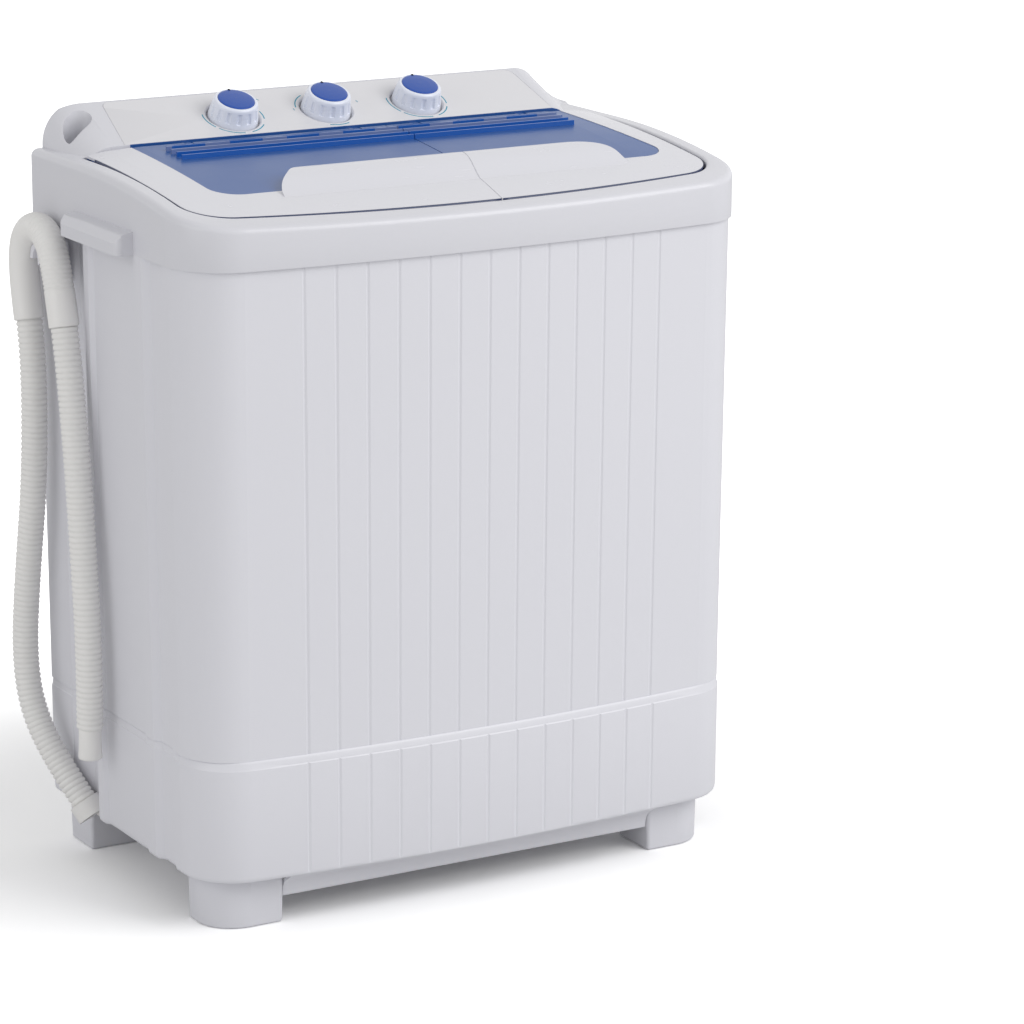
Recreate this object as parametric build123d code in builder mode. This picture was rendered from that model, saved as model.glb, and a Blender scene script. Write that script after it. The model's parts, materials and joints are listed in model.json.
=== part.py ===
from build123d import *
import math
import os

os.makedirs("parts", exist_ok=True)

# ---------------------------------------------------------------- driving sizes
# Frame: +X to the right, front towards -Y, +Z up, origin at the middle of the footprint.
WIDTH = 580.0                 # over the top frame
DEPTH = 356.0                 # over the top frame
BOW_RADIUS = 2270.0           # the front face bulges forward
WALL = 3.0                    # moulded wall thickness

FOOT_BOTTOM = 0.0
LIP_BOTTOM = 24.0             # curved lip between the front feet
SKIRT_BOTTOM = 51.0
DECK_TOP = 58.0               # floor of the base, carries the motors
SKIRT_TOP = 157.0
CABINET_BOTTOM = 165.0
FRAME_BOTTOM = 612.0          # lower edge of the top frame
CABINET_TOP = 630.0           # hidden inside the top frame

FRAME_WALL = 3.2              # top frame's wall
CABINET_INSET = 3.5           # top frame stands this much proud of the cabinet
CABINET_DRAFT = 3.5           # how much each wall leans in over the cabinet's height
SIDE_REACH = 1.2              # the cabinet's sides stand out by this much beyond its inset
SKIRT_SIDE = -1.7             # the base's sides are flush with the cabinet's instead
SKIRT_STEP = 3.0              # the base is proud of the cabinet's lower front edge

HALF_W = WIDTH / 2
HALF_D = DEPTH / 2
FRONT_CORNER = 58.0
REAR_CORNER = 4.0

GROOVE_COUNT = 13
GROOVE_PITCH = 30.5
GROOVE_WIDTH = 3.6
GROOVE_DEPTH = 0.7

# lids: an arched surface through the rear and the front edge
LID_REAR_Y = 98.0
LID_REAR_Z = 684.0
LID_FRONT_Y = -151.0
LID_FRONT_Z = 653.2
LID_RISE = 3.2                # height of the arch over its chord
LID_CROWN = 6.0               # fall of the lids' side edges at the rear, none at the front
LID_EDGE_Y = -154.0           # front edge of the lids at the middle
LID_BOW = 1600.0              # radius of the lids' front edge in plan
LID_HALF_W = 268.5
LID_CORNER = 42.0
LID_GAP = 2.6                 # gap round the lids
SEAM_X = 40.0                 # joint between the two lids
SEAM_FRONT_X = 24.0           # the joint slants on the front frame
SEAM_BREAK_Y = -53.0
SEAM_GAP = 1.0
PAN_THICK = 2.6               # tinted pan under the white frame
LID_FRAME_THICK = 2.4
PAN_SKIRT = 8.0               # turned-down edge of the pan

HINGE_Y = 91.0
HINGE_DROP = 6.5              # hinge axis below the lid surface
ROLL_R = 6.8                  # rounded rear edge of the lids, about the hinge axis
LUG_X = (-168.0, 8.0, 73.0, 190.0)
LUG_HALF = 4.0
HINGE_PIN_R = 2.5
RUN_FIT = 0.08                # radial clearance of a turning fit
MOVE_GAP = 0.4                # clearance between pieces that move past each other

# control hump
PANEL_SLOPE = 23.0
PANEL_FRONT_Y = 99.5
PANEL_FRONT_Z = 684.6
PANEL_REAR_Y = 171.5
HUMP_REAR_Y = 176.0
FASCIA_HALF_FRONT = 229.0
FASCIA_HALF_REAR = 220.5
FASCIA_THICK = 3.0
KNOB_X = (-102.5, -4.0, 94.5)
KNOB_Y = 130.5
KNOB_BASE_R = 24.0
KNOB_TOP_R = 21.0
KNOB_HEIGHT = 18.0
CAP_R = 17.8
KNOB_FLUTES = 14
DIAL_WELL_R = 25.6            # cup that each knob sits in, with a wider mouth
DIAL_MOUTH_R = 27.4
DIAL_WELL_DEPTH = 5.5
CUP_DEPTH = 7.0
SPINDLE_R = 3.0

# tubs
WASH_X0 = -264.0
WASH_X1 = 22.0
WASH_Y0 = -142.0
WASH_Y1 = 84.0
WASH_CORNER = 48.0
WASH_FLOOR = 262.0
SPIN_X = 152.0
SPIN_Y = -28.0
SPIN_TUB_R = 108.0
SPIN_FLOOR = 300.0
TUB_WALL = 2.6
DECK_DROP = 24.0              # tub flange below the lid surface
FLANGE_THICK = 3.0

PULSATOR_X = -121.0
PULSATOR_Y = -29.0
PULSATOR_R = 92.0
PULLEY_R = 72.0
MOTOR_PULLEY_R = 18.0
PULLEY_Z = 196.0
PULLEY_THICK = 14.0
WASH_MOTOR_X = -30.0
WASH_MOTOR_Y = 52.0

BASKET_R = 95.0
BASKET_FLOOR = 318.0
BASKET_TOP = 606.0
BASKET_WALL = 2.4

# drain hose
HOSE_R = 12.6
HOSE_X = -306.0
GUIDE_R = 14.6


# ---------------------------------------------------------------- shared shapes
def keep(builder, name):
    """Label a finished piece and write its file."""
    builder.part.label = name
    export_step(builder.part, f"parts/{name}.step")
    box = builder.part.bounding_box()
    print(f"{name:22s} {len(builder.part.solids())} solids  {builder.part.volume / 1000:9.1f} cm3"
          f"  z {box.min.Z:7.1f} .. {box.max.Z:7.1f}")


CHORD = math.hypot(LID_REAR_Y - LID_FRONT_Y, LID_REAR_Z - LID_FRONT_Z)
LID_R = CHORD**2 / (8 * LID_RISE) + LID_RISE / 2
CHORD_TILT = math.atan2(LID_REAR_Z - LID_FRONT_Z, LID_REAR_Y - LID_FRONT_Y)
ARCH_Y = (LID_REAR_Y + LID_FRONT_Y) / 2 + (LID_R - LID_RISE) * math.sin(CHORD_TILT)
ARCH_Z = (LID_REAR_Z + LID_FRONT_Z) / 2 - (LID_R - LID_RISE) * math.cos(CHORD_TILT)


def lid_z(y, drop=0.0):
    """Height of the lid surface at a depth y, lowered by drop."""
    return ARCH_Z + math.sqrt((LID_R - drop) ** 2 - (y - ARCH_Y) ** 2)


def arch_layer(top_drop, bottom_drop, y0=-200.0, y1=200.0, half=310.0):
    """Slab that follows the lid's arch between two drops below its surface."""
    mid = (y0 + y1) / 2
    with BuildPart() as slab:
        with BuildSketch(Plane.YZ.offset(-half)):
            with BuildLine():
                top = ThreePointArc((y0, lid_z(y0, top_drop)), (mid, lid_z(mid, top_drop)),
                                    (y1, lid_z(y1, top_drop)))
                low = ThreePointArc((y0, lid_z(y0, bottom_drop)), (mid, lid_z(mid, bottom_drop)),
                                    (y1, lid_z(y1, bottom_drop)))
                Line(top @ 0, low @ 0)
                Line(top @ 1, low @ 1)
            make_face()
        extrude(amount=2 * half)
    return slab.part


def under_arch(drop, floor):
    """Block from a floor height up to the lid's arch lowered by drop."""
    with BuildPart() as block:
        with BuildSketch(Plane.YZ.offset(-310)):
            with BuildLine():
                top = ThreePointArc((-200, lid_z(-200, drop)), (0, lid_z(0, drop)),
                                    (200, lid_z(200, drop)))
                Polyline(top @ 1, (200, floor), (-200, floor), top @ 0)
            make_face()
        extrude(amount=620)
    return block.part


def plan_outline(z, inset=0.0, front_corner=FRONT_CORNER, rear_corner=REAR_CORNER):
    """Washer outline at height z: bowed front, straight sides, rounded corners."""
    half = HALF_W - inset
    front = -HALF_D + inset
    sag = half**2 / (2 * BOW_RADIUS)
    with BuildSketch(Plane.XY.offset(z)) as outline:
        with BuildLine():
            bow = ThreePointArc((-half, front + sag), (0, front), (half, front + sag))
            Polyline(bow @ 1, (half, HALF_D - inset), (-half, HALF_D - inset), bow @ 0)
        make_face()
        fillet(outline.vertices().group_by(Axis.Y)[0], max(front_corner - inset, 2))
        fillet(outline.vertices().group_by(Axis.Y)[-1], max(rear_corner - inset, 1.5))
    return outline.sketch


def cabinet_outline(z, inset, wall=0.0, side=SIDE_REACH):
    """Outline with the side beads, the hose channel on the left and an upright rear wall."""
    half = HALF_W - inset + side
    front = -HALF_D + inset
    sag = half**2 / (2 * BOW_RADIUS)
    edge = half - wall
    rear = HALF_D - CABINET_INSET - wall
    right = [(edge, -96), (edge - 3.5, -90), (edge - 3.5, -66), (edge + 1.8, -58),
             (edge + 1.8, -42), (edge - 1, -36), (edge - 1, 150), (edge, 154)]
    left = [(-x, y) for x, y in right[:6]]
    # the channel's flanks keep their thickness: each is shifted by a share of the wall
    rib, front_flank, rear_flank = 0.35 * wall, -0.68 * wall, 0.28 * wall
    left += [(-edge + 1, 49 + rib), (-edge - 2.5, 54 + rib), (-edge - 2.5, 64 + front_flank),
             (-edge + 12, 70 + front_flank), (-edge + 12, 104 + rear_flank),
             (-edge, 124 + rear_flank)]
    with BuildSketch(Plane.XY.offset(z)) as outline:
        with BuildLine():
            bow = ThreePointArc((-edge, front + wall + sag), (0, front + wall),
                                (edge, front + wall + sag))
            Polyline(bow @ 1, *right, (edge, rear), (-edge, rear), *reversed(left), bow @ 0)
        make_face()
        corners = outline.vertices().filter_by(lambda v: v.Y < -120)
        fillet(corners, FRONT_CORNER - inset - wall)
        fillet(outline.vertices().group_by(Axis.Y)[-1], REAR_CORNER - min(wall, 3))
    return outline.sketch


def block(x0, x1, y0, y1, z0, z1):
    """Plain cutting box given by its limits."""
    with BuildPart() as box:
        with BuildSketch(Plane.XY.offset(z0)):
            with Locations(((x0 + x1) / 2, (y0 + y1) / 2)):
                Rectangle(x1 - x0, y1 - y0)
        extrude(amount=z1 - z0)
    return box.part


def grooves(z0, z1, front0, front1):
    """Fine upright wedges that cut the grooves of the bowed front between two heights.

    front0 and front1 are the depths of the front face at the two heights.
    """
    rise = z1 - z0
    with BuildPart() as blades:
        for index in range(GROOVE_COUNT):
            x = (index - (GROOVE_COUNT - 1) / 2) * GROOVE_PITCH
            y = front0 + x**2 / (2 * BOW_RADIUS)
            spread = x / HALF_W * CABINET_DRAFT * rise / (CABINET_TOP - CABINET_BOTTOM)
            lean = Vector(spread, front1 - front0, rise)
            with BuildSketch(Plane.XY.offset(z0)):
                with Locations((x - spread / 2, y)):
                    Polygon((-GROOVE_WIDTH * 1.2, -1.2), (GROOVE_WIDTH * 1.2, -1.2),
                            (0.4, GROOVE_DEPTH), (-0.4, GROOVE_DEPTH), align=None)
            extrude(amount=lean.length, dir=lean.normalized())
    return blades.part


# ---------------------------------------------------------------- base
SKIRT_INSET = CABINET_INSET + CABINET_DRAFT - SKIRT_STEP
SKIRT_LOW_INSET = SKIRT_INSET + 0.8
DECK_THICK = 4.0
FEET_X = 232.0
FEET_Y = (-113.5, 148.5)
FOOT_W = 72.0
FOOT_D = (55.0, 49.0)
FOOT_ROUND = 38.0             # outer front corner of the front feet
LIP_HALF = 195.9
SKIRT_LEVELS = ((SKIRT_BOTTOM, SKIRT_LOW_INSET + 2.2), (SKIRT_BOTTOM + 1.6, SKIRT_LOW_INSET + 0.7),
                (SKIRT_BOTTOM + 4.5, SKIRT_LOW_INSET), (SKIRT_TOP, SKIRT_INSET),
                (SKIRT_TOP + 1.0, SKIRT_INSET + 0.8), (CABINET_BOTTOM - 2, SKIRT_INSET + 1.3),
                (CABINET_BOTTOM, SKIRT_INSET + SKIRT_STEP - 0.4))
GLAND_X = 222.0
GLAND_Z = 110.0
GLAND_R = 8.0
HOSE_EXIT = Vector(-285.0, 100.6, 60.0)
HOSE_EXIT_DIR = Vector(-17.5, 25.4, 38.5).normalized()
HOSE_GLAND_R = 15.5
PIPE_R = 10.5
PIPE_FOOT = (-257.0, 103.0)   # where the inner drain pipe goes through the deck

with BuildPart() as base_skirt:
    # rounded lower edge, the wall, and a near-upright band that the cabinet stands on
    for z, inset in SKIRT_LEVELS:
        add(cabinet_outline(z, inset, 0, SKIRT_SIDE))
    loft(ruled=True)
    # hollow above the deck, and a shallow one below it
    add(cabinet_outline(DECK_TOP, SKIRT_LOW_INSET, WALL, SKIRT_SIDE))
    add(cabinet_outline(CABINET_BOTTOM + 1, SKIRT_INSET + SKIRT_STEP, WALL, SKIRT_SIDE + 1))
    loft(ruled=True, mode=Mode.SUBTRACT)
    add(cabinet_outline(SKIRT_BOTTOM - 1, SKIRT_LOW_INSET, WALL + 1, SKIRT_SIDE))
    extrude(amount=DECK_TOP - DECK_THICK - SKIRT_BOTTOM + 1, mode=Mode.SUBTRACT)
    add(grooves(SKIRT_BOTTOM - 1, SKIRT_TOP + 3, -HALF_D + SKIRT_LOW_INSET, -HALF_D + SKIRT_INSET),
        mode=Mode.SUBTRACT)
    # lip that curves in under the front edge, between the feet
    with BuildSketch(Plane.YZ.offset(-LIP_HALF)):
        with BuildLine():
            outer = Spline((-160, SKIRT_BOTTOM + 3), (-141, 38), (-137, LIP_BOTTOM),
                           tangents=((0.5, -1), (0, -1)))
            inner = Spline((-156, SKIRT_BOTTOM + 3), (-138, 39), (-134, LIP_BOTTOM),
                           tangents=((0.5, -1), (0, -1)))
            Line(outer @ 0, inner @ 0)
            Line(outer @ 1, inner @ 1)
        make_face()
    extrude(amount=2 * LIP_HALF)
    with BuildSketch(Plane.XY.offset(SKIRT_BOTTOM)):
        with Locations((0, -157)):
            Rectangle(2 * LIP_HALF, 9)
    extrude(amount=DECK_TOP - DECK_THICK - SKIRT_BOTTOM)
    # ventilation slots under the two motors
    with BuildSketch(Plane.XY.offset(DECK_TOP - DECK_THICK - 1)):
        with Locations((WASH_MOTOR_X - 70, WASH_MOTOR_Y - 20), (SPIN_X + 85, SPIN_Y - 40)):
            with GridLocations(0, 14, 1, 5):
                SlotOverall(52, 6)
    extrude(amount=DECK_THICK + 2, mode=Mode.SUBTRACT)
    # bushing hole for the supply lead in the back
    with BuildSketch(Plane.XZ.offset(-HALF_D - 5)):
        with Locations((GLAND_X, GLAND_Z)):
            Circle(GLAND_R)
    extrude(amount=25, mode=Mode.SUBTRACT)
    # way out for the drain hose at the foot of its channel
    with BuildSketch(Plane(HOSE_EXIT - HOSE_EXIT_DIR * 30, z_dir=HOSE_EXIT_DIR)):
        Circle(HOSE_GLAND_R)
    extrude(amount=60, mode=Mode.SUBTRACT)
    # hole in the deck for the inner drain pipe
    with BuildSketch(Plane.XY.offset(DECK_TOP - DECK_THICK - 1)):
        with Locations(PIPE_FOOT):
            Circle(PIPE_R)
    extrude(amount=DECK_THICK + 2, mode=Mode.SUBTRACT)
keep(base_skirt, "base_skirt")

with BuildPart() as feet:
    for side in (-1, 1):
        for y, depth in zip(FEET_Y, FOOT_D):
            with BuildSketch(Plane.XY.offset(SKIRT_BOTTOM)) as pad:
                with Locations((side * FEET_X, y)):
                    Rectangle(FOOT_W, depth)
                outer = pad.vertices().group_by(Axis.Y)[0].sort_by(Axis.X)[0 if side < 0 else -1]
                inner = [vertex for vertex in pad.vertices() if vertex != outer]
                fillet(inner, 4)
                outer = pad.vertices().filter_by(lambda v: abs(v.X) > HALF_W - 25 and v.Y < y)
                fillet(outer.sort_by(Axis.Y)[0], FOOT_ROUND if y < 0 else 4)
            extrude(amount=-SKIRT_BOTTOM, taper=1.2)
            # spigot that seats against the deck, inside the skirt
            with BuildSketch(Plane.XY.offset(SKIRT_BOTTOM)):
                with Locations((side * (FEET_X - 8), y - 4 if y > 0 else y + 6)):
                    RectangleRounded(40, 28, 5)
            extrude(amount=DECK_TOP - DECK_THICK - SKIRT_BOTTOM)
    fillet(feet.edges().group_by(Axis.Z)[0], 2.5)
keep(feet, "feet")

# ---------------------------------------------------------------- cabinet
REAR_Y = HALF_D - CABINET_INSET
PANEL_X = 206.0
PANEL_Z0 = 186.0
PANEL_Z1 = 566.0


def neck_trim():
    """Ring outside the cabinet's neck, where the top frame goes over it."""
    with BuildPart() as ring:
        add(block(-320, 320, -200, 200, FRAME_BOTTOM, CABINET_TOP + 5))
        add(plan_outline(FRAME_BOTTOM - 1, FRAME_WALL + 0.3))
        extrude(amount=50, mode=Mode.SUBTRACT)
    return ring.part


def cabinet_form():
    """Cabinet as a solid block, drawn in slightly towards the bottom."""
    with BuildPart() as form:
        add(cabinet_outline(CABINET_BOTTOM, CABINET_INSET + CABINET_DRAFT))
        add(cabinet_outline(CABINET_TOP, CABINET_INSET))
        loft(ruled=True)
    return form.part


with BuildPart() as cabinet_shell:
    add(cabinet_form())
    add(cabinet_outline(CABINET_BOTTOM - 1, CABINET_INSET + CABINET_DRAFT, WALL))
    add(cabinet_outline(CABINET_TOP + 1, CABINET_INSET, WALL))
    loft(ruled=True, mode=Mode.SUBTRACT)
    add(grooves(CABINET_BOTTOM - 1, FRAME_BOTTOM + 4, -HALF_D + CABINET_INSET + CABINET_DRAFT,
                -HALF_D + CABINET_INSET + 0.2), mode=Mode.SUBTRACT)
    # neck that goes up inside the top frame
    add(neck_trim(), mode=Mode.SUBTRACT)
    # service opening in the back
    with BuildSketch(Plane.XZ.offset(-HALF_D - 5)):
        with Locations((0, (PANEL_Z0 + PANEL_Z1) / 2)):
            RectangleRounded(2 * PANEL_X - 24, PANEL_Z1 - PANEL_Z0 - 24, 10)
    extrude(amount=25, mode=Mode.SUBTRACT)
keep(cabinet_shell, "cabinet_shell")

# ---------------------------------------------------------------- top frame and hump
TILT = math.tan(math.radians(PANEL_SLOPE))
RIM_LEVEL = 676.5             # top of the frame beside the hump
RIM_ARCH_Y = 70.0             # in front of this the frame arches down
RIM_ARCH_R = 1060.0
RIM_ROUND = 7.0
LEDGE_REACH = 18.0            # hand grips on the sides
LEDGE_Y0 = -44.0
LEDGE_Y1 = 78.0
LEDGE_TOP = 631.0
INLET_FLOOR = 664.0
HINGE_Z = lid_z(HINGE_Y, HINGE_DROP)


def panel_z(y, drop=0.0):
    """Height of the sloping control panel at a depth y."""
    return PANEL_FRONT_Z + (y - PANEL_FRONT_Y) * TILT - drop


def rim_z(y):
    """Height of the top frame: level behind, arched down to the front."""
    return RIM_LEVEL - max(RIM_ARCH_Y - y, 0) ** 2 / (2 * RIM_ARCH_R)


def lid_plan(z, grow=0.0, rear=LID_REAR_Y):
    """Outline of the two closed lids together, seen from above."""
    half = LID_HALF_W + grow
    front = LID_EDGE_Y - grow
    sag = half**2 / (2 * LID_BOW)
    with BuildSketch(Plane.XY.offset(z)) as plan:
        with BuildLine():
            bow = ThreePointArc((-half, front + sag), (0, front), (half, front + sag))
            Polyline(bow @ 1, (half, rear + grow), (-half, rear + grow), bow @ 0)
        make_face()
        fillet(plan.vertices().group_by(Axis.Y)[0], LID_CORNER + grow)
    return plan.sketch


def hump_form(inset=0.0):
    """Control hump: wedge with a rounded left end and a swept right end."""
    base_y = 60.0
    lower = (PANEL_REAR_Y - base_y) * TILT
    top = panel_z(PANEL_REAR_Y)
    along = Vector(0, math.cos(math.radians(PANEL_SLOPE)), math.sin(math.radians(PANEL_SLOPE)))
    with BuildPart() as form:
        with BuildSketch(Plane.XZ.offset(-base_y)):
            with BuildLine():
                arch = RadiusArc((-278 + inset, 677 - lower), (-240, top - inset - lower),
                                 38 - inset)
                crown = Line(arch @ 1, (228 - inset, top - inset - lower))
                shoulder = ThreePointArc(crown @ 1, (240 - inset, top - 4.0 - inset - lower),
                                         (250 - inset, 703 - inset - lower))
                slope = Line(shoulder @ 1, (266 - inset, 688 - inset - lower))
                foot = ThreePointArc(slope @ 1, (278 - inset, 679.5 - inset - lower),
                                     (HALF_W + 4, 674.5 - inset - lower))
                Polyline(foot @ 1, (HALF_W + 4, 500), (-278 + inset, 500), arch @ 0)
            make_face()
        extrude(amount=170, dir=along)
        with BuildSketch(Plane.YZ.offset(-HALF_W - 5)):
            with BuildLine():
                Polyline((PANEL_FRONT_Y, 630), (PANEL_FRONT_Y, PANEL_FRONT_Z - inset),
                         (PANEL_REAR_Y, panel_z(PANEL_REAR_Y, inset)),
                         (HUMP_REAR_Y - inset, top - 4.5 - inset), (HUMP_REAR_Y - inset, 630),
                         close=True)
            make_face()
        extrude(amount=2 * HALF_W + 10, mode=Mode.INTERSECT)
        add(plan_outline(620))
        extrude(amount=120, mode=Mode.INTERSECT)
    return form.part


def lid_block(z0, z1, grow=0.0):
    """Upright block with the outline of the closed lids."""
    with BuildPart() as body:
        add(lid_plan(z0, grow))
        extrude(amount=z1 - z0)
    return body.part


def under_rim(drop, floor):
    """Block from a floor height up to the top frame's surface lowered by drop."""
    with BuildPart() as body:
        with BuildSketch(Plane.YZ.offset(-HALF_W - 5)):
            with BuildLine():
                arch = ThreePointArc((-190, rim_z(-190) - drop), (-60, rim_z(-60) - drop),
                                     (RIM_ARCH_Y, RIM_LEVEL - drop))
                Polyline(arch @ 1, (HALF_D + 5, RIM_LEVEL - drop), (HALF_D + 5, floor),
                         (-190, floor), arch @ 0)
            make_face()
        extrude(amount=WIDTH + 10)
    return body.part


def ring_hollow():
    """Space between the frame's outer wall and the wall round the lids, open below."""
    with BuildPart() as space:
        add(plan_outline(FRAME_BOTTOM - 1, FRAME_WALL))
        extrude(amount=90)
        add(under_rim(7.0, 600), mode=Mode.INTERSECT)
        add(lid_block(600, 720, LID_GAP + WALL), mode=Mode.SUBTRACT)
        add(block(-300, 300, 92, 200, 600, 720), mode=Mode.SUBTRACT)
    with BuildPart() as below:
        add(plan_outline(FRAME_BOTTOM - 1, FRAME_WALL))
        extrude(amount=90)
        add(under_arch(DECK_DROP, 600), mode=Mode.INTERSECT)
        add(block(-300, 300, PANEL_FRONT_Y, 200, 655, 720), mode=Mode.SUBTRACT)
    return space.part + below.part


def compartment():
    """Room for the switches under the control panel, open below."""
    front = PANEL_FRONT_Y + WALL
    with BuildPart() as space:
        add(hump_form(2 * FRAME_WALL))
        add(block(-233, 262, front, 200, 600, 720), mode=Mode.INTERSECT)
    return space.part


def panel_layer(top_drop, bottom_drop):
    """Slab that follows the control panel between two drops below its surface."""
    with BuildPart() as slab:
        with BuildSketch(Plane.YZ.offset(-300)):
            with BuildLine():
                Polyline((90, panel_z(90, top_drop)), (180, panel_z(180, top_drop)),
                         (180, panel_z(180, bottom_drop)), (90, panel_z(90, bottom_drop)),
                         close=True)
            make_face()
        extrude(amount=600)
    return slab.part


def fascia_plan(grow=0.0):
    """Upright block with the outline of the control fascia."""
    front = PANEL_FRONT_Y + 0.9 - grow
    rear = PANEL_REAR_Y - 2.0 + grow
    with BuildPart() as body:
        with BuildSketch(Plane.XY.offset(640)) as plan:
            with BuildLine():
                Polyline((-FASCIA_HALF_FRONT - grow, front), (FASCIA_HALF_FRONT + grow, front),
                         (FASCIA_HALF_REAR + grow, rear), (-FASCIA_HALF_REAR - grow, rear),
                         close=True)
            make_face()
            fillet(plan.vertices().group_by(Axis.Y)[-1], 9)
        extrude(amount=100)
    return body.part


def hand_grip(side):
    """Ledge under the rim to lift the machine by, hollow underneath."""
    wall_x = side * (HALF_W - 0.6)
    reach = side * LEDGE_REACH
    plane = Plane((0, LEDGE_Y0, 0), x_dir=(1, 0, 0), z_dir=(0, -1, 0))
    with BuildPart() as grip:
        with BuildSketch(plane):
            with BuildLine():
                Polyline((wall_x, FRAME_BOTTOM), (wall_x + reach, FRAME_BOTTOM),
                         (wall_x + reach, LEDGE_TOP - 8), (wall_x + reach * 0.62, LEDGE_TOP - 0.5),
                         (wall_x, LEDGE_TOP + 2), close=True)
            make_face()
        extrude(amount=-(LEDGE_Y1 - LEDGE_Y0))
        far = grip.edges().filter_by(lambda e: abs(e.center().X) > HALF_W + LEDGE_REACH - 4)
        fillet(far.filter_by(Axis.Z), 6.5)
        fillet(grip.edges().filter_by(Axis.Y).group_by(Axis.Z)[-2], 4.0)
        with BuildSketch(Plane.XY.offset(FRAME_BOTTOM)):
            with Locations((side * (HALF_W + 7.2), (LEDGE_Y0 + LEDGE_Y1) / 2)):
                RectangleRounded(15.0, LEDGE_Y1 - LEDGE_Y0 - 7, 4.0)
        extrude(amount=11, mode=Mode.SUBTRACT)
    return grip.part


def fascia_seat():
    """Recess in the hump's slope that the control fascia lies in."""
    with BuildPart() as seat:
        add(fascia_plan(0.3))
        add(panel_layer(-8, FASCIA_THICK), mode=Mode.INTERSECT)
    return seat.part


def fascia_opening():
    """Opening under the fascia, which leaves a ledge for it to rest on."""
    with BuildPart() as opening:
        add(fascia_plan(-5))
        add(block(-233, 233, PANEL_FRONT_Y + WALL, 165, 650, 740), mode=Mode.INTERSECT)
    return opening.part


with BuildPart() as top_frame:
    add(plan_outline(FRAME_BOTTOM))
    extrude(amount=90)
    with BuildSketch(Plane.YZ.offset(-HALF_W - 5)):
        with BuildLine():
            arch = ThreePointArc((-190, rim_z(-190)), (-60, rim_z(-60)), (RIM_ARCH_Y, RIM_LEVEL))
            Polyline(arch @ 1, (HALF_D + 5, RIM_LEVEL), (HALF_D + 5, 600), (-190, 600), arch @ 0)
        make_face()
    extrude(amount=WIDTH + 10, mode=Mode.INTERSECT)
    rim_edges = top_frame.edges().filter_by(lambda e: e.center().Z > 640 and e.center().Y < 170)
    rim_edges = rim_edges.filter_by(lambda e: abs(e.center().X) > 1 or e.center().Y < 0)
    rim_edges = rim_edges.filter_by(Axis.Z, reverse=True)
    fillet(rim_edges, RIM_ROUND)
    # opening for the lids, with a softened inner edge
    add(lid_plan(FRAME_BOTTOM - 1, LID_GAP, PANEL_FRONT_Y - LID_GAP))
    extrude(amount=120, mode=Mode.SUBTRACT)
    mouth = top_frame.edges().filter_by(Axis.Z, reverse=True)
    mouth = mouth.filter_by(lambda e: e.center().Z > 645 and -160 < e.center().Y < 90)
    mouth = mouth.filter_by(lambda e: abs(e.center().X) < LID_HALF_W + LID_GAP + 2)
    fillet(mouth.filter_by(lambda e: abs(e.center().X) < 265 or e.center().Y > -100), 3.0)
    add(hump_form())
    # hollow underneath: the ring behind the outer wall, then the control compartment
    add(ring_hollow(), mode=Mode.SUBTRACT)
    add(compartment(), mode=Mode.SUBTRACT)
    # seat and opening for the control fascia
    add(fascia_seat(), mode=Mode.SUBTRACT)
    add(fascia_opening(), mode=Mode.SUBTRACT)
    # water inlet: leaf-shaped pocket in the left end, with a hose socket in its floor
    with BuildSketch(Plane.XY.offset(INLET_FLOOR)):
        with BuildLine():
            Spline((-270, 134), (-268, 151), (-261, 160), (-247, 161), (-239.5, 152),
                   (-243, 142), (-255, 134.5), periodic=True)
        make_face()
    extrude(amount=80, mode=Mode.SUBTRACT)
    with Locations((-255, 148, INLET_FLOOR)):
        Hole(8.5, 30)
    # lugs that carry the lids' hinge pins
    for x in LUG_X:
        with BuildSketch(Plane.YZ.offset(x - LUG_HALF)):
            with BuildLine():
                nose = CenterArc((HINGE_Y, HINGE_Z), 5.6, 90, 180)
                Polyline(nose @ 1, (PANEL_FRONT_Y + 1, HINGE_Z - 16), (PANEL_FRONT_Y + 1, HINGE_Z + 5.6),
                         nose @ 0)
            make_face()
            with Locations((HINGE_Y, HINGE_Z)):
                Circle(HINGE_PIN_R, mode=Mode.SUBTRACT)
        extrude(amount=2 * LUG_HALF)
    for side in (-1, 1):
        add(hand_grip(side))
keep(top_frame, "top_frame")

with BuildPart() as hinge_pins:
    for x in LUG_X:
        with BuildSketch(Plane.YZ.offset(x - 15)):
            with Locations((HINGE_Y, HINGE_Z)):
                Circle(HINGE_PIN_R)
        extrude(amount=30)
keep(hinge_pins, "hinge_pins")


# ---------------------------------------------------------------- lids
WINDOW_X0 = -222.5
WINDOW_X1 = 250.5
WINDOW_Y0 = -82.5
WINDOW_SPLAY = (-3.5, -19.5)  # how far the left and the right side have moved at the rear
WINDOW_REAR = 130.0
WINDOW_CORNER = 27.0
WINDOW_FIT = 0.3


def crown(y):
    """How far the lids' side edges lie below their middle."""
    return LID_CROWN * ((y - LID_FRONT_Y) / (LID_REAR_Y - LID_FRONT_Y)) ** 2


def lid_layer(top_drop, bottom_drop):
    """Arched and crowned slab between two drops below the lid surface."""
    shape = ((-278, 1.18), (-250, 0.4), (-216, 0), (216, 0), (250, 0.4), (278, 1.18))
    with BuildPart() as slab:
        for y in (-170.0, -120.0, -60.0, 0.0, 60.0, 112.0):
            upper = [(x, lid_z(y, 0) - share * crown(y) - top_drop) for x, share in shape]
            lower = [(x, lid_z(y, 0) - share * crown(y) - bottom_drop) for x, share in shape]
            with BuildSketch(Plane.XZ.offset(-y)):
                with BuildLine():
                    Polyline(*upper, *reversed(lower), close=True)
                make_face()
        loft()
    return slab.part


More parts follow.
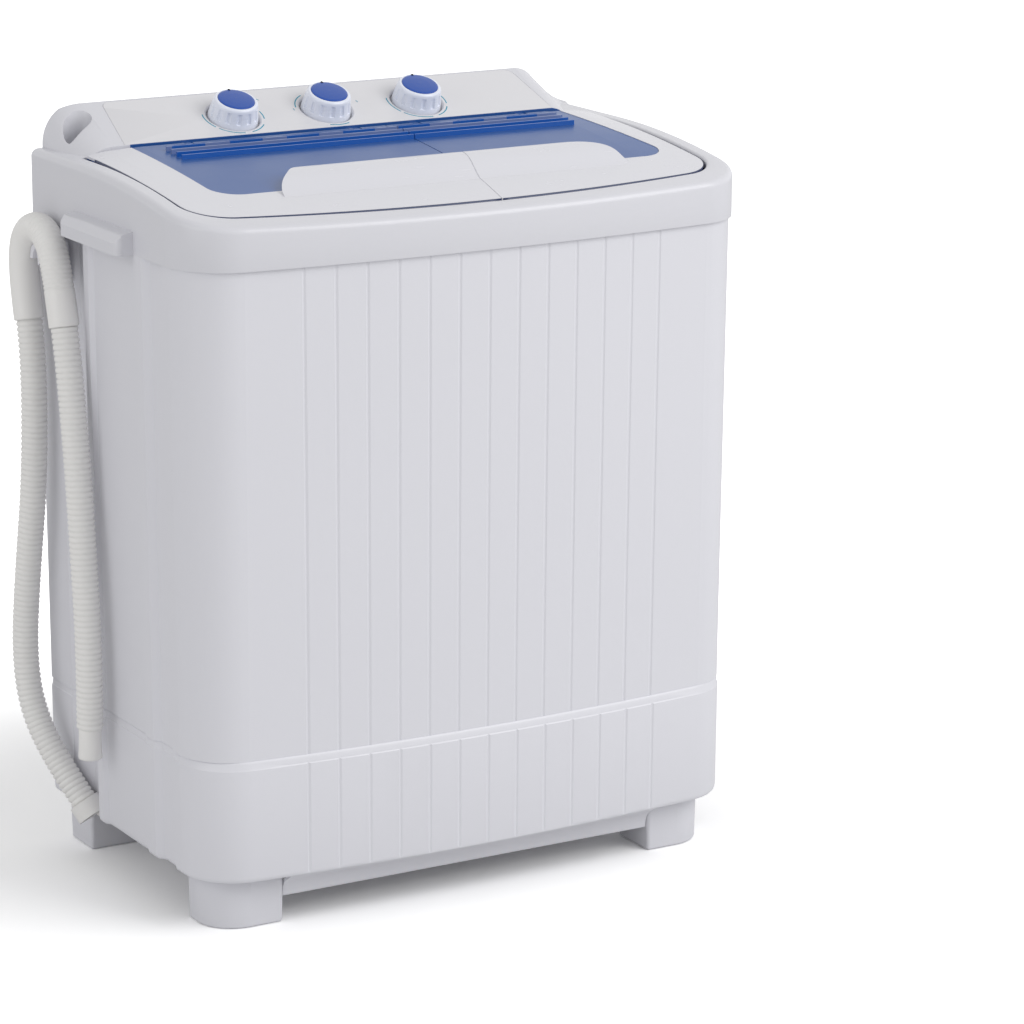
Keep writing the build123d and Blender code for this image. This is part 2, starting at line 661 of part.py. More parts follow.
def rear_envelope():
    """Everything in front of the hinge axis, and a roll about it."""
    with BuildPart() as body:
        add(block(-300, 300, -200, HINGE_Y, 560, 760))
        with BuildSketch(Plane.YZ.offset(-300)):
            with Locations((HINGE_Y, HINGE_Z)):
                Circle(ROLL_R)
        extrude(amount=600)
    return body.part


def side_of_seam(side, z0=560.0, z1=760.0):
    """Half space on one side of the slanting joint: -1 wash lid, +1 spin lid."""
    gap = side * SEAM_GAP / 2
    with BuildPart() as body:
        with BuildSketch(Plane.XY.offset(z0)):
            with BuildLine():
                Polyline((SEAM_FRONT_X + gap - 8, -200), (SEAM_FRONT_X + gap, LID_FRONT_Y),
                         (SEAM_X + gap, SEAM_BREAK_Y), (SEAM_X + gap, 130), (side * 320, 130),
                         (side * 320, -200), close=True)
            make_face()
        extrude(amount=z1 - z0)
    return body.part


def window_plan(z, fit=0.0):
    """Outline of the tinted window in the white frame; it runs out at the rear."""
    with BuildSketch(Plane.XY.offset(z)) as plan:
        Polygon((WINDOW_X0 + fit, WINDOW_Y0 + fit), (WINDOW_X1 - fit, WINDOW_Y0 + fit),
                (WINDOW_X1 - fit + WINDOW_SPLAY[1], WINDOW_REAR),
                (WINDOW_X0 + fit + WINDOW_SPLAY[0], WINDOW_REAR), align=None)
        fillet(plan.vertices().group_by(Axis.Y)[0], WINDOW_CORNER)
    return plan.sketch


# raised bar that both lids share: concave foot in front, finger room behind
HANDLE_X0 = -167.0
HANDLE_X1 = 197.0
HANDLE_REAR = -50.0
HANDLE_FRONT = -104.0
HANDLE_RISE = 11.3
HANDLE_SKIN = 3.0


def handle_bar():
    """Handle section swept across both lids, with both ends rounded in plan."""
    def up(y, rise):
        return (y, lid_z(y) + rise)

    with BuildPart() as bar:
        with BuildSketch(Plane.YZ.offset(HANDLE_X0)):
            with BuildLine():
                top = Spline(up(HANDLE_FRONT, -0.6), up(-92, 2.2), up(-78, 8.2),
                             up(-64, HANDLE_RISE), up(HANDLE_REAR, 9.6))
                lip = Line(top @ 1, up(HANDLE_REAR, 9.6 - HANDLE_SKIN))
                under = Spline(lip @ 1, up(-64, HANDLE_RISE - HANDLE_SKIN - 0.6), up(-79, 3.4))
                Polyline(under @ 1, up(-83.5, 0.4), up(-83.5, -1.2), up(HANDLE_FRONT, -1.2),
                         top @ 0)
            make_face()
        extrude(amount=HANDLE_X1 - HANDLE_X0)
        with BuildSketch(Plane.XY.offset(600)):
            with BuildLine():
                left = Spline((HANDLE_X0, HANDLE_FRONT - 1), (HANDLE_X0 + 5, -84),
                              (HANDLE_X0 + 20, -66), (HANDLE_X0 + 56, HANDLE_REAR + 0.1),
                              tangents=((0, 1), (1, 0)))
                back = Line(left @ 1, (HANDLE_X1 - 66, HANDLE_REAR + 0.1))
                right = Spline(back @ 1, (HANDLE_X1 - 28, -60), (HANDLE_X1 - 9, -76),
                               (HANDLE_X1, HANDLE_FRONT - 1), tangents=((1, 0), (0.4, -1)))
                Line(right @ 1, left @ 0)
            make_face()
        extrude(amount=120, mode=Mode.INTERSECT)
    return bar.part


def lid_frame_form():
    """White frame of both lids with the handle, before it is parted at the joint."""
    with BuildPart() as form:
        add(lid_layer(0, LID_FRAME_THICK))
        add(lid_block(560, 760), mode=Mode.INTERSECT)
        add(window_plan(560))
        extrude(amount=200, mode=Mode.SUBTRACT)
        add(handle_bar())
        add(rear_envelope(), mode=Mode.INTERSECT)
        add(lug_notches(), mode=Mode.SUBTRACT)
    return form.part


RIB_Y = (70.0, 59.0, 48.0, 37.0)
RIB_X = (-201.5, 215.0)
RIB_THICK = 1.8
RIB_HEIGHT = 4.3              # over the window's surface
MARKS_X = ((-185, -151), (-128, -90), (-72, -31), (-12, 28), (50, 97), (115, 152), (171, 210))
MARKS_Y = (85.5, 88.5)        # row of shallow slots behind the ribs
MARKS_DEPTH = 0.6
PANE_DROP = 0.5               # the window lies this much below the frame
KNUCKLE = 10.0                # length of each hinge knuckle


def pan_hollow():
    """Space under the tinted pan, inside its turned-down skirt."""
    with BuildPart() as hollow:
        add(lid_layer(LID_FRAME_THICK + PAN_THICK, 60))
        add(lid_block(560, 760, -0.3 - PAN_THICK), mode=Mode.INTERSECT)
    return hollow.part


def pane():
    """Raised part of the pan that fills the window flush with the frame."""
    with BuildPart() as raised:
        add(window_plan(560, WINDOW_FIT))
        extrude(amount=200)
        add(lid_layer(PANE_DROP, LID_FRAME_THICK + PAN_THICK), mode=Mode.INTERSECT)
    return raised.part


def pan_ribs():
    """Four long ribs that stand on the rear of the window."""
    with BuildPart() as ribs:
        for y in RIB_Y:
            add(block(*RIB_X, y - RIB_THICK / 2, y + RIB_THICK / 2, 600, 760))
        add(lid_layer(PANE_DROP - RIB_HEIGHT, PANE_DROP + 1), mode=Mode.INTERSECT)
    return ribs.part


def pane_marks():
    """Shallow slots along the rear of the window."""
    with BuildPart() as marks:
        for x0, x1 in MARKS_X:
            add(block(x0, x1, *MARKS_Y, 600, 760))
        add(lid_layer(-2, PANE_DROP + MARKS_DEPTH), mode=Mode.INTERSECT)
    return marks.part


def hinge_knuckles():
    """Pairs of knuckles beside the lugs, hung from the underside of the pan."""
    with BuildPart() as knuckles:
        for x in LUG_X:
            for x0 in (x - LUG_HALF - MOVE_GAP - KNUCKLE, x + LUG_HALF + MOVE_GAP):
                with BuildSketch(Plane.YZ.offset(x0)):
                    with Locations((HINGE_Y, HINGE_Z)):
                        Circle(ROLL_R - 0.6)
                        with Locations((-2, 2.6)):
                            Rectangle(9, 4)
                extrude(amount=KNUCKLE)
        add(lid_layer(LID_FRAME_THICK + 0.5, 60), mode=Mode.INTERSECT)
    return knuckles.part


def lug_notches():
    """Notches in the lids' rear edge that leave the hinge lugs free."""
    with BuildPart() as notches:
        for x in LUG_X:
            half = LUG_HALF + MOVE_GAP
            add(block(x - half, x + half, HINGE_Y - ROLL_R, 120, 600, 760))
    return notches.part


def lid_pan_form():
    """Tinted pan of both lids: window with its ribs, turned-down skirt and hinge knuckles."""
    with BuildPart() as form:
        add(lid_layer(LID_FRAME_THICK, LID_FRAME_THICK + PAN_SKIRT))
        add(lid_block(560, 760, -0.3), mode=Mode.INTERSECT)
        add(pan_hollow(), mode=Mode.SUBTRACT)
        add(pane())
        add(pane_marks(), mode=Mode.SUBTRACT)
        add(pan_ribs())
        add(rear_envelope(), mode=Mode.INTERSECT)
        add(hinge_knuckles())
        add(lug_notches(), mode=Mode.SUBTRACT)
        with BuildSketch(Plane.YZ.offset(-300)):
            with Locations((HINGE_Y, HINGE_Z)):
                Circle(HINGE_PIN_R + RUN_FIT)
        extrude(amount=600, mode=Mode.SUBTRACT)
    return form.part


frame_form = lid_frame_form()
pan_form = lid_pan_form()
for form, kind in ((frame_form, "frame"), (pan_form, "window")):
    for side, lid in ((-1, "wash"), (1, "spin")):
        with BuildPart() as half:
            add(form)
            add(side_of_seam(side), mode=Mode.INTERSECT)
        keep(half, f"{lid}_lid_{kind}")

# ---------------------------------------------------------------- control panel
def knob_plane(x):
    """Plane on the panel at a knob, looking out along its axis."""
    normal = (0, -math.sin(math.radians(PANEL_SLOPE)), math.cos(math.radians(PANEL_SLOPE)))
    return Plane((x, KNOB_Y, panel_z(KNOB_Y)), x_dir=(1, 0, 0), z_dir=normal)


def turned(plane, *outline):
    """Solid of revolution about a plane's axis from (radius, height) points."""
    profile = Plane(plane.origin, x_dir=plane.x_dir, z_dir=-plane.y_dir)
    with BuildPart() as body:
        with BuildSketch(profile):
            with BuildLine():
                Polyline(*outline, close=True)
            make_face()
        revolve(axis=Axis(plane.origin, plane.z_dir))
    return body.part


with BuildPart() as control_fascia:
    add(fascia_plan())
    add(panel_layer(0, FASCIA_THICK), mode=Mode.INTERSECT)
    for x in KNOB_X:
        add(turned(knob_plane(x), (0, -CUP_DEPTH), (DIAL_WELL_R + 1.3, -CUP_DEPTH),
                   (DIAL_WELL_R + 1.3, -1), (0, -1)))
        add(turned(knob_plane(x), (0, 1), (DIAL_MOUTH_R + 0.5, 1), (DIAL_MOUTH_R, 0),
                   (DIAL_WELL_R + 0.5, -1), (DIAL_WELL_R, -2.2), (DIAL_WELL_R, -DIAL_WELL_DEPTH),
                   (0, -DIAL_WELL_DEPTH)), mode=Mode.SUBTRACT)
        with BuildSketch(knob_plane(x).offset(-CUP_DEPTH - 1)):
            Circle(SPINDLE_R + 1.0)
        extrude(amount=CUP_DEPTH + 2, mode=Mode.SUBTRACT)
keep(control_fascia, "control_fascia")


CONTROLS = (("wash_timer", KNOB_X[0]), ("mode", KNOB_X[1]), ("spin_timer", KNOB_X[2]))
for control, x in CONTROLS:
    plane = knob_plane(x)
    low = -DIAL_WELL_DEPTH + 0.5
    with BuildPart() as knob:
        add(turned(plane, (SPINDLE_R, low), (KNOB_BASE_R - 1, low), (KNOB_BASE_R, low + 1),
                   (KNOB_BASE_R, 0), (KNOB_TOP_R + 0.5, 14.5), (KNOB_TOP_R - 0.2, 16.8),
                   (KNOB_TOP_R - 1.5, KNOB_HEIGHT),
                   (CAP_R, KNOB_HEIGHT), (CAP_R, KNOB_HEIGHT - 2.2),
                   (SPINDLE_R, KNOB_HEIGHT - 2.2)))
        with BuildSketch(plane.offset(3.4)):
            with PolarLocations(KNOB_BASE_R + 0.3, KNOB_FLUTES):
                Circle(2.6)
        extrude(amount=10.5, mode=Mode.SUBTRACT, taper=-5)
    keep(knob, f"{control}_knob")
    with BuildPart() as cap:
        add(turned(plane, (0, KNOB_HEIGHT - 2.2), (CAP_R - 0.1, KNOB_HEIGHT - 2.2),
                   (CAP_R - 0.1, KNOB_HEIGHT + 0.3), (CAP_R - 1.2, KNOB_HEIGHT + 0.9),
                   (CAP_R * 0.5, KNOB_HEIGHT + 1.5), (0, KNOB_HEIGHT + 1.7)))
        with BuildSketch(plane.offset(KNOB_HEIGHT)):
            with Locations((0, CAP_R - 1.3)):
                Rectangle(2.0, 2.2)
        extrude(amount=0.8)
    keep(cap, f"{control}_cap")
    with BuildPart() as spindle:
        with BuildSketch(plane.offset(-28)):
            Circle(SPINDLE_R)
        extrude(amount=28 + KNOB_HEIGHT - 2.2)
    keep(spindle, f"{control}_spindle")
    with BuildPart() as switch:
        with BuildSketch(plane.offset(-CUP_DEPTH)):
            RectangleRounded(46, 38, 3)
            Circle(SPINDLE_R + RUN_FIT, mode=Mode.SUBTRACT)
        extrude(amount=-24)
        with BuildSketch(plane.offset(-CUP_DEPTH - 24)):
            with GridLocations(12, 16, 3, 2):
                Rectangle(6, 1)
        extrude(amount=-7)
    keep(switch, f"{control}_switch")

# ---------------------------------------------------------------- tubs
TUB_SEAM = 33.0
WELL_DRAFT = 1.0
FLANGE_GROW = LID_GAP + WALL + 2.5


def flange(x0, x1):
    """Part of the arched plate that joins a tub to the top frame."""
    with BuildPart() as plate:
        add(lid_plan(600, FLANGE_GROW, PANEL_FRONT_Y - FLANGE_GROW))
        extrude(amount=120)
        add(arch_layer(DECK_DROP, DECK_DROP + FLANGE_THICK), mode=Mode.INTERSECT)
        add(block(x0, x1, -200, 200, 560, 760), mode=Mode.INTERSECT)
    return plate.part


def well(wall, floor):
    """Inside (wall 0) or outside of the wash tub, up past the flange."""
    lean = (lid_z(0) - WASH_FLOOR) * math.tan(math.radians(WELL_DRAFT))
    width = WASH_X1 - WASH_X0 - 2 * lean + 2 * wall
    depth = WASH_Y1 - WASH_Y0 - 2 * lean + 2 * wall
    with BuildPart() as body:
        with BuildSketch(Plane.XY.offset(floor)):
            with Locations(((WASH_X0 + WASH_X1) / 2, (WASH_Y0 + WASH_Y1) / 2)):
                RectangleRounded(width, depth, WASH_CORNER - 10)
        extrude(amount=720 - floor, taper=-WELL_DRAFT)
        fillet(body.edges().group_by(Axis.Z)[0], 20 + wall)
    return body.part


wash_axis = Plane((PULSATOR_X, PULSATOR_Y, 0))
spin_axis = Plane((SPIN_X, SPIN_Y, 0))
motor_axis = Plane((WASH_MOTOR_X, WASH_MOTOR_Y, 0))
DISH_DEPTH = 9.0
HOUSING_R = 15.0
OUTLET = (-215.0, 46.0)
OUTLET_R = 13.0

with BuildPart() as wash_tub:
    add(well(TUB_WALL, WASH_FLOOR - TUB_WALL))
    add(under_arch(DECK_DROP, 200), mode=Mode.INTERSECT)
    add(flange(-300, TUB_SEAM - 0.2))
    add(turned(wash_axis, (0, WASH_FLOOR - DISH_DEPTH - TUB_WALL),
               (PULSATOR_R + 3, WASH_FLOOR - DISH_DEPTH - TUB_WALL),
               (PULSATOR_R + 8, WASH_FLOOR - TUB_WALL), (0, WASH_FLOOR - TUB_WALL)))
    with BuildSketch(Plane.XY.offset(WASH_FLOOR - TUB_WALL)):
        with Locations(OUTLET):
            Circle(OUTLET_R + TUB_WALL)
    extrude(amount=-22)
    add(well(0, WASH_FLOOR), mode=Mode.SUBTRACT)
    add(turned(wash_axis, (0, WASH_FLOOR - DISH_DEPTH), (PULSATOR_R + 1.5, WASH_FLOOR - DISH_DEPTH),
               (PULSATOR_R + 6, WASH_FLOOR + 1), (0, WASH_FLOOR + 1)), mode=Mode.SUBTRACT)
    with BuildSketch(Plane.XY.offset(WASH_FLOOR + 1)):
        with Locations(OUTLET):
            Circle(OUTLET_R)
    extrude(amount=-30, mode=Mode.SUBTRACT)
    with BuildSketch(Plane.XY.offset(200)):
        with Locations((PULSATOR_X, PULSATOR_Y)):
            Circle(HOUSING_R)
    extrude(amount=70, mode=Mode.SUBTRACT)
keep(wash_tub, "wash_tub")

with BuildPart() as spin_tub:
    add(turned(spin_axis, (0, SPIN_FLOOR - TUB_WALL), (SPIN_TUB_R - 14, SPIN_FLOOR - TUB_WALL),
               (SPIN_TUB_R, SPIN_FLOOR + 12), (SPIN_TUB_R, 720), (0, 720)))
    add(under_arch(DECK_DROP, 200), mode=Mode.INTERSECT)
    add(flange(TUB_SEAM + 0.2, 300))
    with BuildSketch(Plane.XY.offset(SPIN_FLOOR - TUB_WALL)):
        with Locations((SPIN_X - 62, SPIN_Y + 40)):
            Circle(OUTLET_R)
    extrude(amount=-20)
    add(turned(spin_axis, (0, SPIN_FLOOR), (SPIN_TUB_R - 15, SPIN_FLOOR),
               (SPIN_TUB_R - TUB_WALL, SPIN_FLOOR + 12), (SPIN_TUB_R - TUB_WALL, 721), (0, 721)),
        mode=Mode.SUBTRACT)
    with BuildSketch(Plane.XY.offset(SPIN_FLOOR + 2)):
        with Locations((SPIN_X - 62, SPIN_Y + 40)):
            Circle(OUTLET_R - TUB_WALL)
        with Locations((SPIN_X, SPIN_Y)):
            Circle(30)
    extrude(amount=-30, mode=Mode.SUBTRACT)
keep(spin_tub, "spin_tub")

# lint filter clipped to the rear wall of the wash tub, and the overflow grille beside it
REAR_WALL_LEAN = math.tan(math.radians(WELL_DRAFT))
FILTER_X = -120.0
FILTER_Z = 470.0
GRILLE_X = -186.0
GRILLE_Z = 420.0


def on_rear_wall(z):
    """Depth of the wash tub's rear wall, inside, at a height."""
    return WASH_Y1 - (lid_z(0) - z) * REAR_WALL_LEAN


wall_plane = Plane((FILTER_X, on_rear_wall(FILTER_Z), FILTER_Z), x_dir=(1, 0, 0),
                   z_dir=(0, -math.cos(math.radians(WELL_DRAFT)), math.sin(math.radians(WELL_DRAFT))))
with BuildPart() as lint_filter:
    with BuildSketch(wall_plane):
        RectangleRounded(78, 116, 12)
    extrude(amount=5)
    with BuildSketch(wall_plane.offset(5)):
        RectangleRounded(66, 104, 9)
    extrude(amount=16, taper=18)
    with BuildSketch(wall_plane.offset(2)):
        with GridLocations(0, 13, 1, 6):
            SlotOverall(46, 5)
    extrude(amount=30, mode=Mode.SUBTRACT)
keep(lint_filter, "lint_filter")

with BuildPart() as overflow_grille:
    grille_plane = Plane((GRILLE_X, on_rear_wall(GRILLE_Z), GRILLE_Z), x_dir=(1, 0, 0), z_dir=wall_plane.z_dir)
    with BuildSketch(grille_plane):
        RectangleRounded(44, 250, 9)
    extrude(amount=9, taper=6)
    with BuildSketch(grille_plane.offset(1.5)):
        with GridLocations(0, 12, 1, 18):
            SlotOverall(28, 4)
    extrude(amount=12, mode=Mode.SUBTRACT)
keep(overflow_grille, "overflow_grille")

# ---------------------------------------------------------------- wash drive
SHAFT_R = 6.0
HUB_TOP = WASH_FLOOR + 14.0

with BuildPart() as pulsator:
    add(turned(wash_axis, (SHAFT_R, WASH_FLOOR - DISH_DEPTH + 2.0),
               (PULSATOR_R - 3, WASH_FLOOR - DISH_DEPTH + 2.0), (PULSATOR_R, WASH_FLOOR - 5),
               (PULSATOR_R - 1, WASH_FLOOR - 1), (PULSATOR_R - 14, WASH_FLOOR - 3),
               (PULSATOR_R - 34, WASH_FLOOR + 0.5), (26, WASH_FLOOR + 8), (14, HUB_TOP),
               (SHAFT_R, HUB_TOP)))
    for angle in range(0, 360, 60):
        vane_plane = Plane((PULSATOR_X, PULSATOR_Y, WASH_FLOOR - 4)).rotated((0, 0, angle))
        with BuildSketch(vane_plane):
            with BuildLine():
                Spline((12, -6), (50, -11), (84, -4))
                Spline((12, 6), (50, 5), (84, 4))
                Line((12, -6), (12, 6))
                Line((84, -4), (84, 4))
            make_face()
        extrude(amount=15, taper=20)
    with BuildSketch(Plane.XY.offset(WASH_FLOOR - 20)):
        with Locations((PULSATOR_X, PULSATOR_Y)):
            Circle(SHAFT_R)
    extrude(amount=60, mode=Mode.SUBTRACT)
keep(pulsator, "pulsator")

with BuildPart() as pulsator_cap:
    add(turned(wash_axis, (0, HUB_TOP), (12, HUB_TOP), (11, HUB_TOP + 4), (6, HUB_TOP + 6.5),
               (0, HUB_TOP + 7.2)))
keep(pulsator_cap, "pulsator_cap")

with BuildPart() as pulsator_shaft:
    add(turned(wash_axis, (0, PULLEY_Z - 8), (SHAFT_R - 1, PULLEY_Z - 8), (SHAFT_R, PULLEY_Z - 7),
               (SHAFT_R, HUB_TOP), (0, HUB_TOP)))
keep(pulsator_shaft, "pulsator_shaft")

with BuildPart() as shaft_housing:
    dish_under = WASH_FLOOR - DISH_DEPTH - TUB_WALL
    bore = SHAFT_R + RUN_FIT
    add(turned(wash_axis, (bore, PULLEY_Z + PULLEY_THICK + 1.5), (HOUSING_R, PULLEY_Z + PULLEY_THICK + 1.5),
               (HOUSING_R + 2, dish_under - 10), (34, dish_under - 5), (34, dish_under),
               (HOUSING_R, dish_under), (HOUSING_R, dish_under + TUB_WALL + 0.6),
               (bore, dish_under + TUB_WALL + 0.6)))
keep(shaft_housing, "shaft_housing")

GROOVE_FLOOR = 5.0
BELT_PLAY = 0.4


def pulley_profile(radius, bore):
    """Grooved rim, thin web and hub, as (radius, height) points."""
    top = PULLEY_Z + PULLEY_THICK
    return ((bore, PULLEY_Z), (radius, PULLEY_Z), (radius, PULLEY_Z + 2),
            (radius - GROOVE_FLOOR, PULLEY_Z + 3), (radius - GROOVE_FLOOR, top - 3),
            (radius, top - 2), (radius, top), (bore, top))


with BuildPart() as large_pulley:
    add(turned(wash_axis, *pulley_profile(PULLEY_R, SHAFT_R)))
    add(turned(wash_axis, (18, PULLEY_Z - 1), (PULLEY_R - 14, PULLEY_Z - 1),
               (PULLEY_R - 12, PULLEY_Z + 4.5), (16, PULLEY_Z + 4.5)), mode=Mode.SUBTRACT)
    add(turned(wash_axis, (16, PULLEY_Z + 9.5), (PULLEY_R - 12, PULLEY_Z + 9.5),
               (PULLEY_R - 14, PULLEY_Z + 15), (18, PULLEY_Z + 15)), mode=Mode.SUBTRACT)
    with BuildSketch(Plane.XY.offset(PULLEY_Z)):
        with Locations((PULSATOR_X, PULSATOR_Y)):
            with PolarLocations(38, 6):
                Circle(10)
    extrude(amount=PULLEY_THICK, mode=Mode.SUBTRACT)
keep(large_pulley, "large_pulley")

with BuildPart() as motor_pulley:
    add(turned(motor_axis, *pulley_profile(MOTOR_PULLEY_R, SHAFT_R - 1)))
keep(motor_pulley, "motor_pulley")

MOTOR_Z0 = 88.0
MOTOR_Z1 = 176.0
BRACKET_TOP = 180.0

with BuildPart() as motor_shaft:
    add(turned(motor_axis, (0, MOTOR_Z0 + 10), (SHAFT_R - 1, MOTOR_Z0 + 10),
               (SHAFT_R - 1, PULLEY_Z + PULLEY_THICK + 3), (0, PULLEY_Z + PULLEY_THICK + 3)))
keep(motor_shaft, "motor_shaft")

with BuildPart() as drive_belt:
    for grow, mode in ((GROOVE_FLOOR - 1.0, Mode.ADD), (0.0, Mode.SUBTRACT)):
        with BuildSketch(Plane.XY.offset(PULLEY_Z + 3.6)):
            with Locations((PULSATOR_X, PULSATOR_Y)):
                Circle(PULLEY_R - GROOVE_FLOOR + BELT_PLAY + grow)
            with Locations((WASH_MOTOR_X, WASH_MOTOR_Y)):
                Circle(MOTOR_PULLEY_R - GROOVE_FLOOR + BELT_PLAY + grow)
            make_hull()
        extrude(amount=PULLEY_THICK - 7.2, mode=mode)
keep(drive_belt, "drive_belt")


def motor_form(plane, radius, z0, z1, bore):
    """Induction motor: end bells, a wider laminated core and a through bore."""
    with BuildPart() as body:
        add(turned(plane, (bore, z0), (radius * 0.55, z0), (radius * 0.9, z0 + 12),
                   (radius * 0.9, z0 + 26), (radius, z0 + 26), (radius, z1 - 26),
                   (radius * 0.9, z1 - 26), (radius * 0.9, z1 - 12), (radius * 0.6, z1),
                   (bore, z1)))
        with BuildSketch(Plane.XY.offset(z0 + 18)):
            with Locations((plane.origin.X, plane.origin.Y)):
                with PolarLocations(radius * 0.88, 4, 45):
                    Circle(5)
        extrude(amount=z1 - z0 - 36)
    return body.part


with BuildPart() as wash_motor:
    add(motor_form(motor_axis, 54, MOTOR_Z0, MOTOR_Z1, SHAFT_R - 1 + RUN_FIT))
keep(wash_motor, "wash_motor")

with BuildPart() as motor_bracket:
    with BuildSketch(Plane.XY.offset(MOTOR_Z1)):
        with Locations((WASH_MOTOR_X, WASH_MOTOR_Y)):
            RectangleRounded(150, 112, 10)
            Circle(24, mode=Mode.SUBTRACT)
    extrude(amount=BRACKET_TOP - MOTOR_Z1)
    with BuildSketch(Plane.XY.offset(DECK_TOP)):
        with Locations((WASH_MOTOR_X, WASH_MOTOR_Y)):
            with GridLocations(132, 94, 2, 2):
                Circle(6.5)
    extrude(amount=MOTOR_Z1 - DECK_TOP)
keep(motor_bracket, "motor_bracket")

# ---------------------------------------------------------------- spin drive
DRUM_Z0 = 204.0
DRUM_Z1 = 228.0
DRUM_R = 42.0
SPIN_MOTOR_Z0 = 80.0
SPIN_MOTOR_Z1 = 190.0
BASKET_RIM = 14.0

with BuildPart() as spin_basket:
    add(turned(spin_axis, (SHAFT_R, BASKET_FLOOR - 4), (30, BASKET_FLOOR - 4), (34, BASKET_FLOOR),
               (BASKET_R - 10, BASKET_FLOOR), (BASKET_R, BASKET_FLOOR + 10),
               (BASKET_R, BASKET_TOP - BASKET_RIM), (BASKET_R + 3, BASKET_TOP - BASKET_RIM + 2),
               (BASKET_R + 3, BASKET_TOP - 1.5), (BASKET_R + 1.5, BASKET_TOP), (BASKET_R - 7, BASKET_TOP),
               (BASKET_R - 9, BASKET_TOP - 2), (BASKET_R - 9, BASKET_TOP - BASKET_RIM + 2),
               (BASKET_R - BASKET_WALL, BASKET_TOP - BASKET_RIM - 5),
               (BASKET_R - BASKET_WALL, BASKET_FLOOR + 11), (BASKET_R - 11, BASKET_FLOOR + 3),
               (32, BASKET_FLOOR + 3), (22, BASKET_FLOOR + 34), (14, BASKET_FLOOR + 36),
               (SHAFT_R, BASKET_FLOOR + 36)))
    for row in range(5):
        for spoke in range(8):
            slot_plane = Plane((SPIN_X, SPIN_Y, BASKET_FLOOR + 40 + row * 50)).rotated(
                (0, 0, spoke * 22.5 + (row % 2) * 11.25))
            with BuildSketch(slot_plane):
                Rectangle(2 * BASKET_R + 20, 3.4)
                Circle(BASKET_R - 12, mode=Mode.SUBTRACT)
            extrude(amount=30, mode=Mode.SUBTRACT)
keep(spin_basket, "spin_basket")

with BuildPart() as spin_shaft:
    add(turned(spin_axis, (0, SPIN_MOTOR_Z0 + 12), (SHAFT_R, SPIN_MOTOR_Z0 + 12),
               (SHAFT_R, BASKET_FLOOR + 36), (0, BASKET_FLOOR + 36)))
keep(spin_shaft, "spin_shaft")

with BuildPart() as basket_nut:
    add(turned(spin_axis, (0, BASKET_FLOOR + 36), (11, BASKET_FLOOR + 36), (11, BASKET_FLOOR + 40),
               (7, BASKET_FLOOR + 44), (0, BASKET_FLOOR + 45)))
keep(basket_nut, "basket_nut")

PLATE_REST = BASKET_FLOOR + 36.1
PLATE_R = 83.0
PLATE_FLAT = 66.0
PLATE_RING_R = 63.4

with BuildPart() as press_plate:
    with BuildSketch(Plane((SPIN_X, SPIN_Y, PLATE_REST))):
        Circle(PLATE_R)
        Rectangle(2 * PLATE_R, 2 * PLATE_FLAT, mode=Mode.INTERSECT)
        Circle(15, mode=Mode.SUBTRACT)
        # tapered spokes of slots, a ring of small holes inside and another outside them
        with PolarLocations(0, 12):
            Polygon((34, -1.5), (34, 1.5), (57, 3.4), (57, -3.4), align=None, mode=Mode.SUBTRACT)
        with PolarLocations(57, 12):
            Circle(3.4, mode=Mode.SUBTRACT)
        with PolarLocations(34, 12):
            Circle(1.5, mode=Mode.SUBTRACT)
        with PolarLocations(24, 12, start_angle=15):
            Circle(1.5, mode=Mode.SUBTRACT)
        for index in range(24):
            turn = math.radians(7.5 + 15 * index)
            if abs(math.sin(turn)) < 0.82:
                with Locations((71 * math.cos(turn), 71 * math.sin(turn))):
                    Circle(1.5, mode=Mode.SUBTRACT)
    extrude(amount=3)
    with BuildSketch(Plane((SPIN_X, SPIN_Y, PLATE_REST + 3))):
        Circle(PLATE_RING_R + 1.2)
        Circle(PLATE_RING_R - 1.2, mode=Mode.SUBTRACT)
    extrude(amount=2)
keep(press_plate, "press_plate")

with BuildPart() as shaft_bellows:
    add(turned(spin_axis, (SHAFT_R + RUN_FIT, 262), (14, 262), (14, 268), (22, 272), (16, 277),
               (25, 282), (18, 288), (28, 293), (38, SPIN_FLOOR - TUB_WALL - 2.4),
               (38, SPIN_FLOOR - TUB_WALL), (29.8, SPIN_FLOOR - TUB_WALL), (29.8, SPIN_FLOOR + 1.5),
               (14, SPIN_FLOOR + 5), (SHAFT_R + RUN_FIT, SPIN_FLOOR + 5)))
keep(shaft_bellows, "shaft_bellows")

with BuildPart() as brake_drum:
    add(turned(spin_axis, (SHAFT_R, DRUM_Z0), (14, DRUM_Z0), (14, DRUM_Z0 + 16), (DRUM_R - 4, DRUM_Z0 + 16),
               (DRUM_R - 4, DRUM_Z0), (DRUM_R, DRUM_Z0), (DRUM_R, DRUM_Z1 - 2), (DRUM_R - 2, DRUM_Z1),
               (SHAFT_R, DRUM_Z1)))
keep(brake_drum, "brake_drum")

with BuildPart() as spin_motor:
    add(motor_form(spin_axis, 58, SPIN_MOTOR_Z0, SPIN_MOTOR_Z1, SHAFT_R + RUN_FIT))
keep(spin_motor, "spin_motor")

DAMPER_REACH = 66.0
with BuildPart() as spin_motor_plate:
    with BuildSketch(Plane.XY.offset(SPIN_MOTOR_Z0 - 4)):
        with Locations((SPIN_X, SPIN_Y)):
            Circle(40)
            with PolarLocations(DAMPER_REACH, 3, 30):
                Circle(17)
        make_hull()
    extrude(amount=4)
keep(spin_motor_plate, "spin_motor_plate")

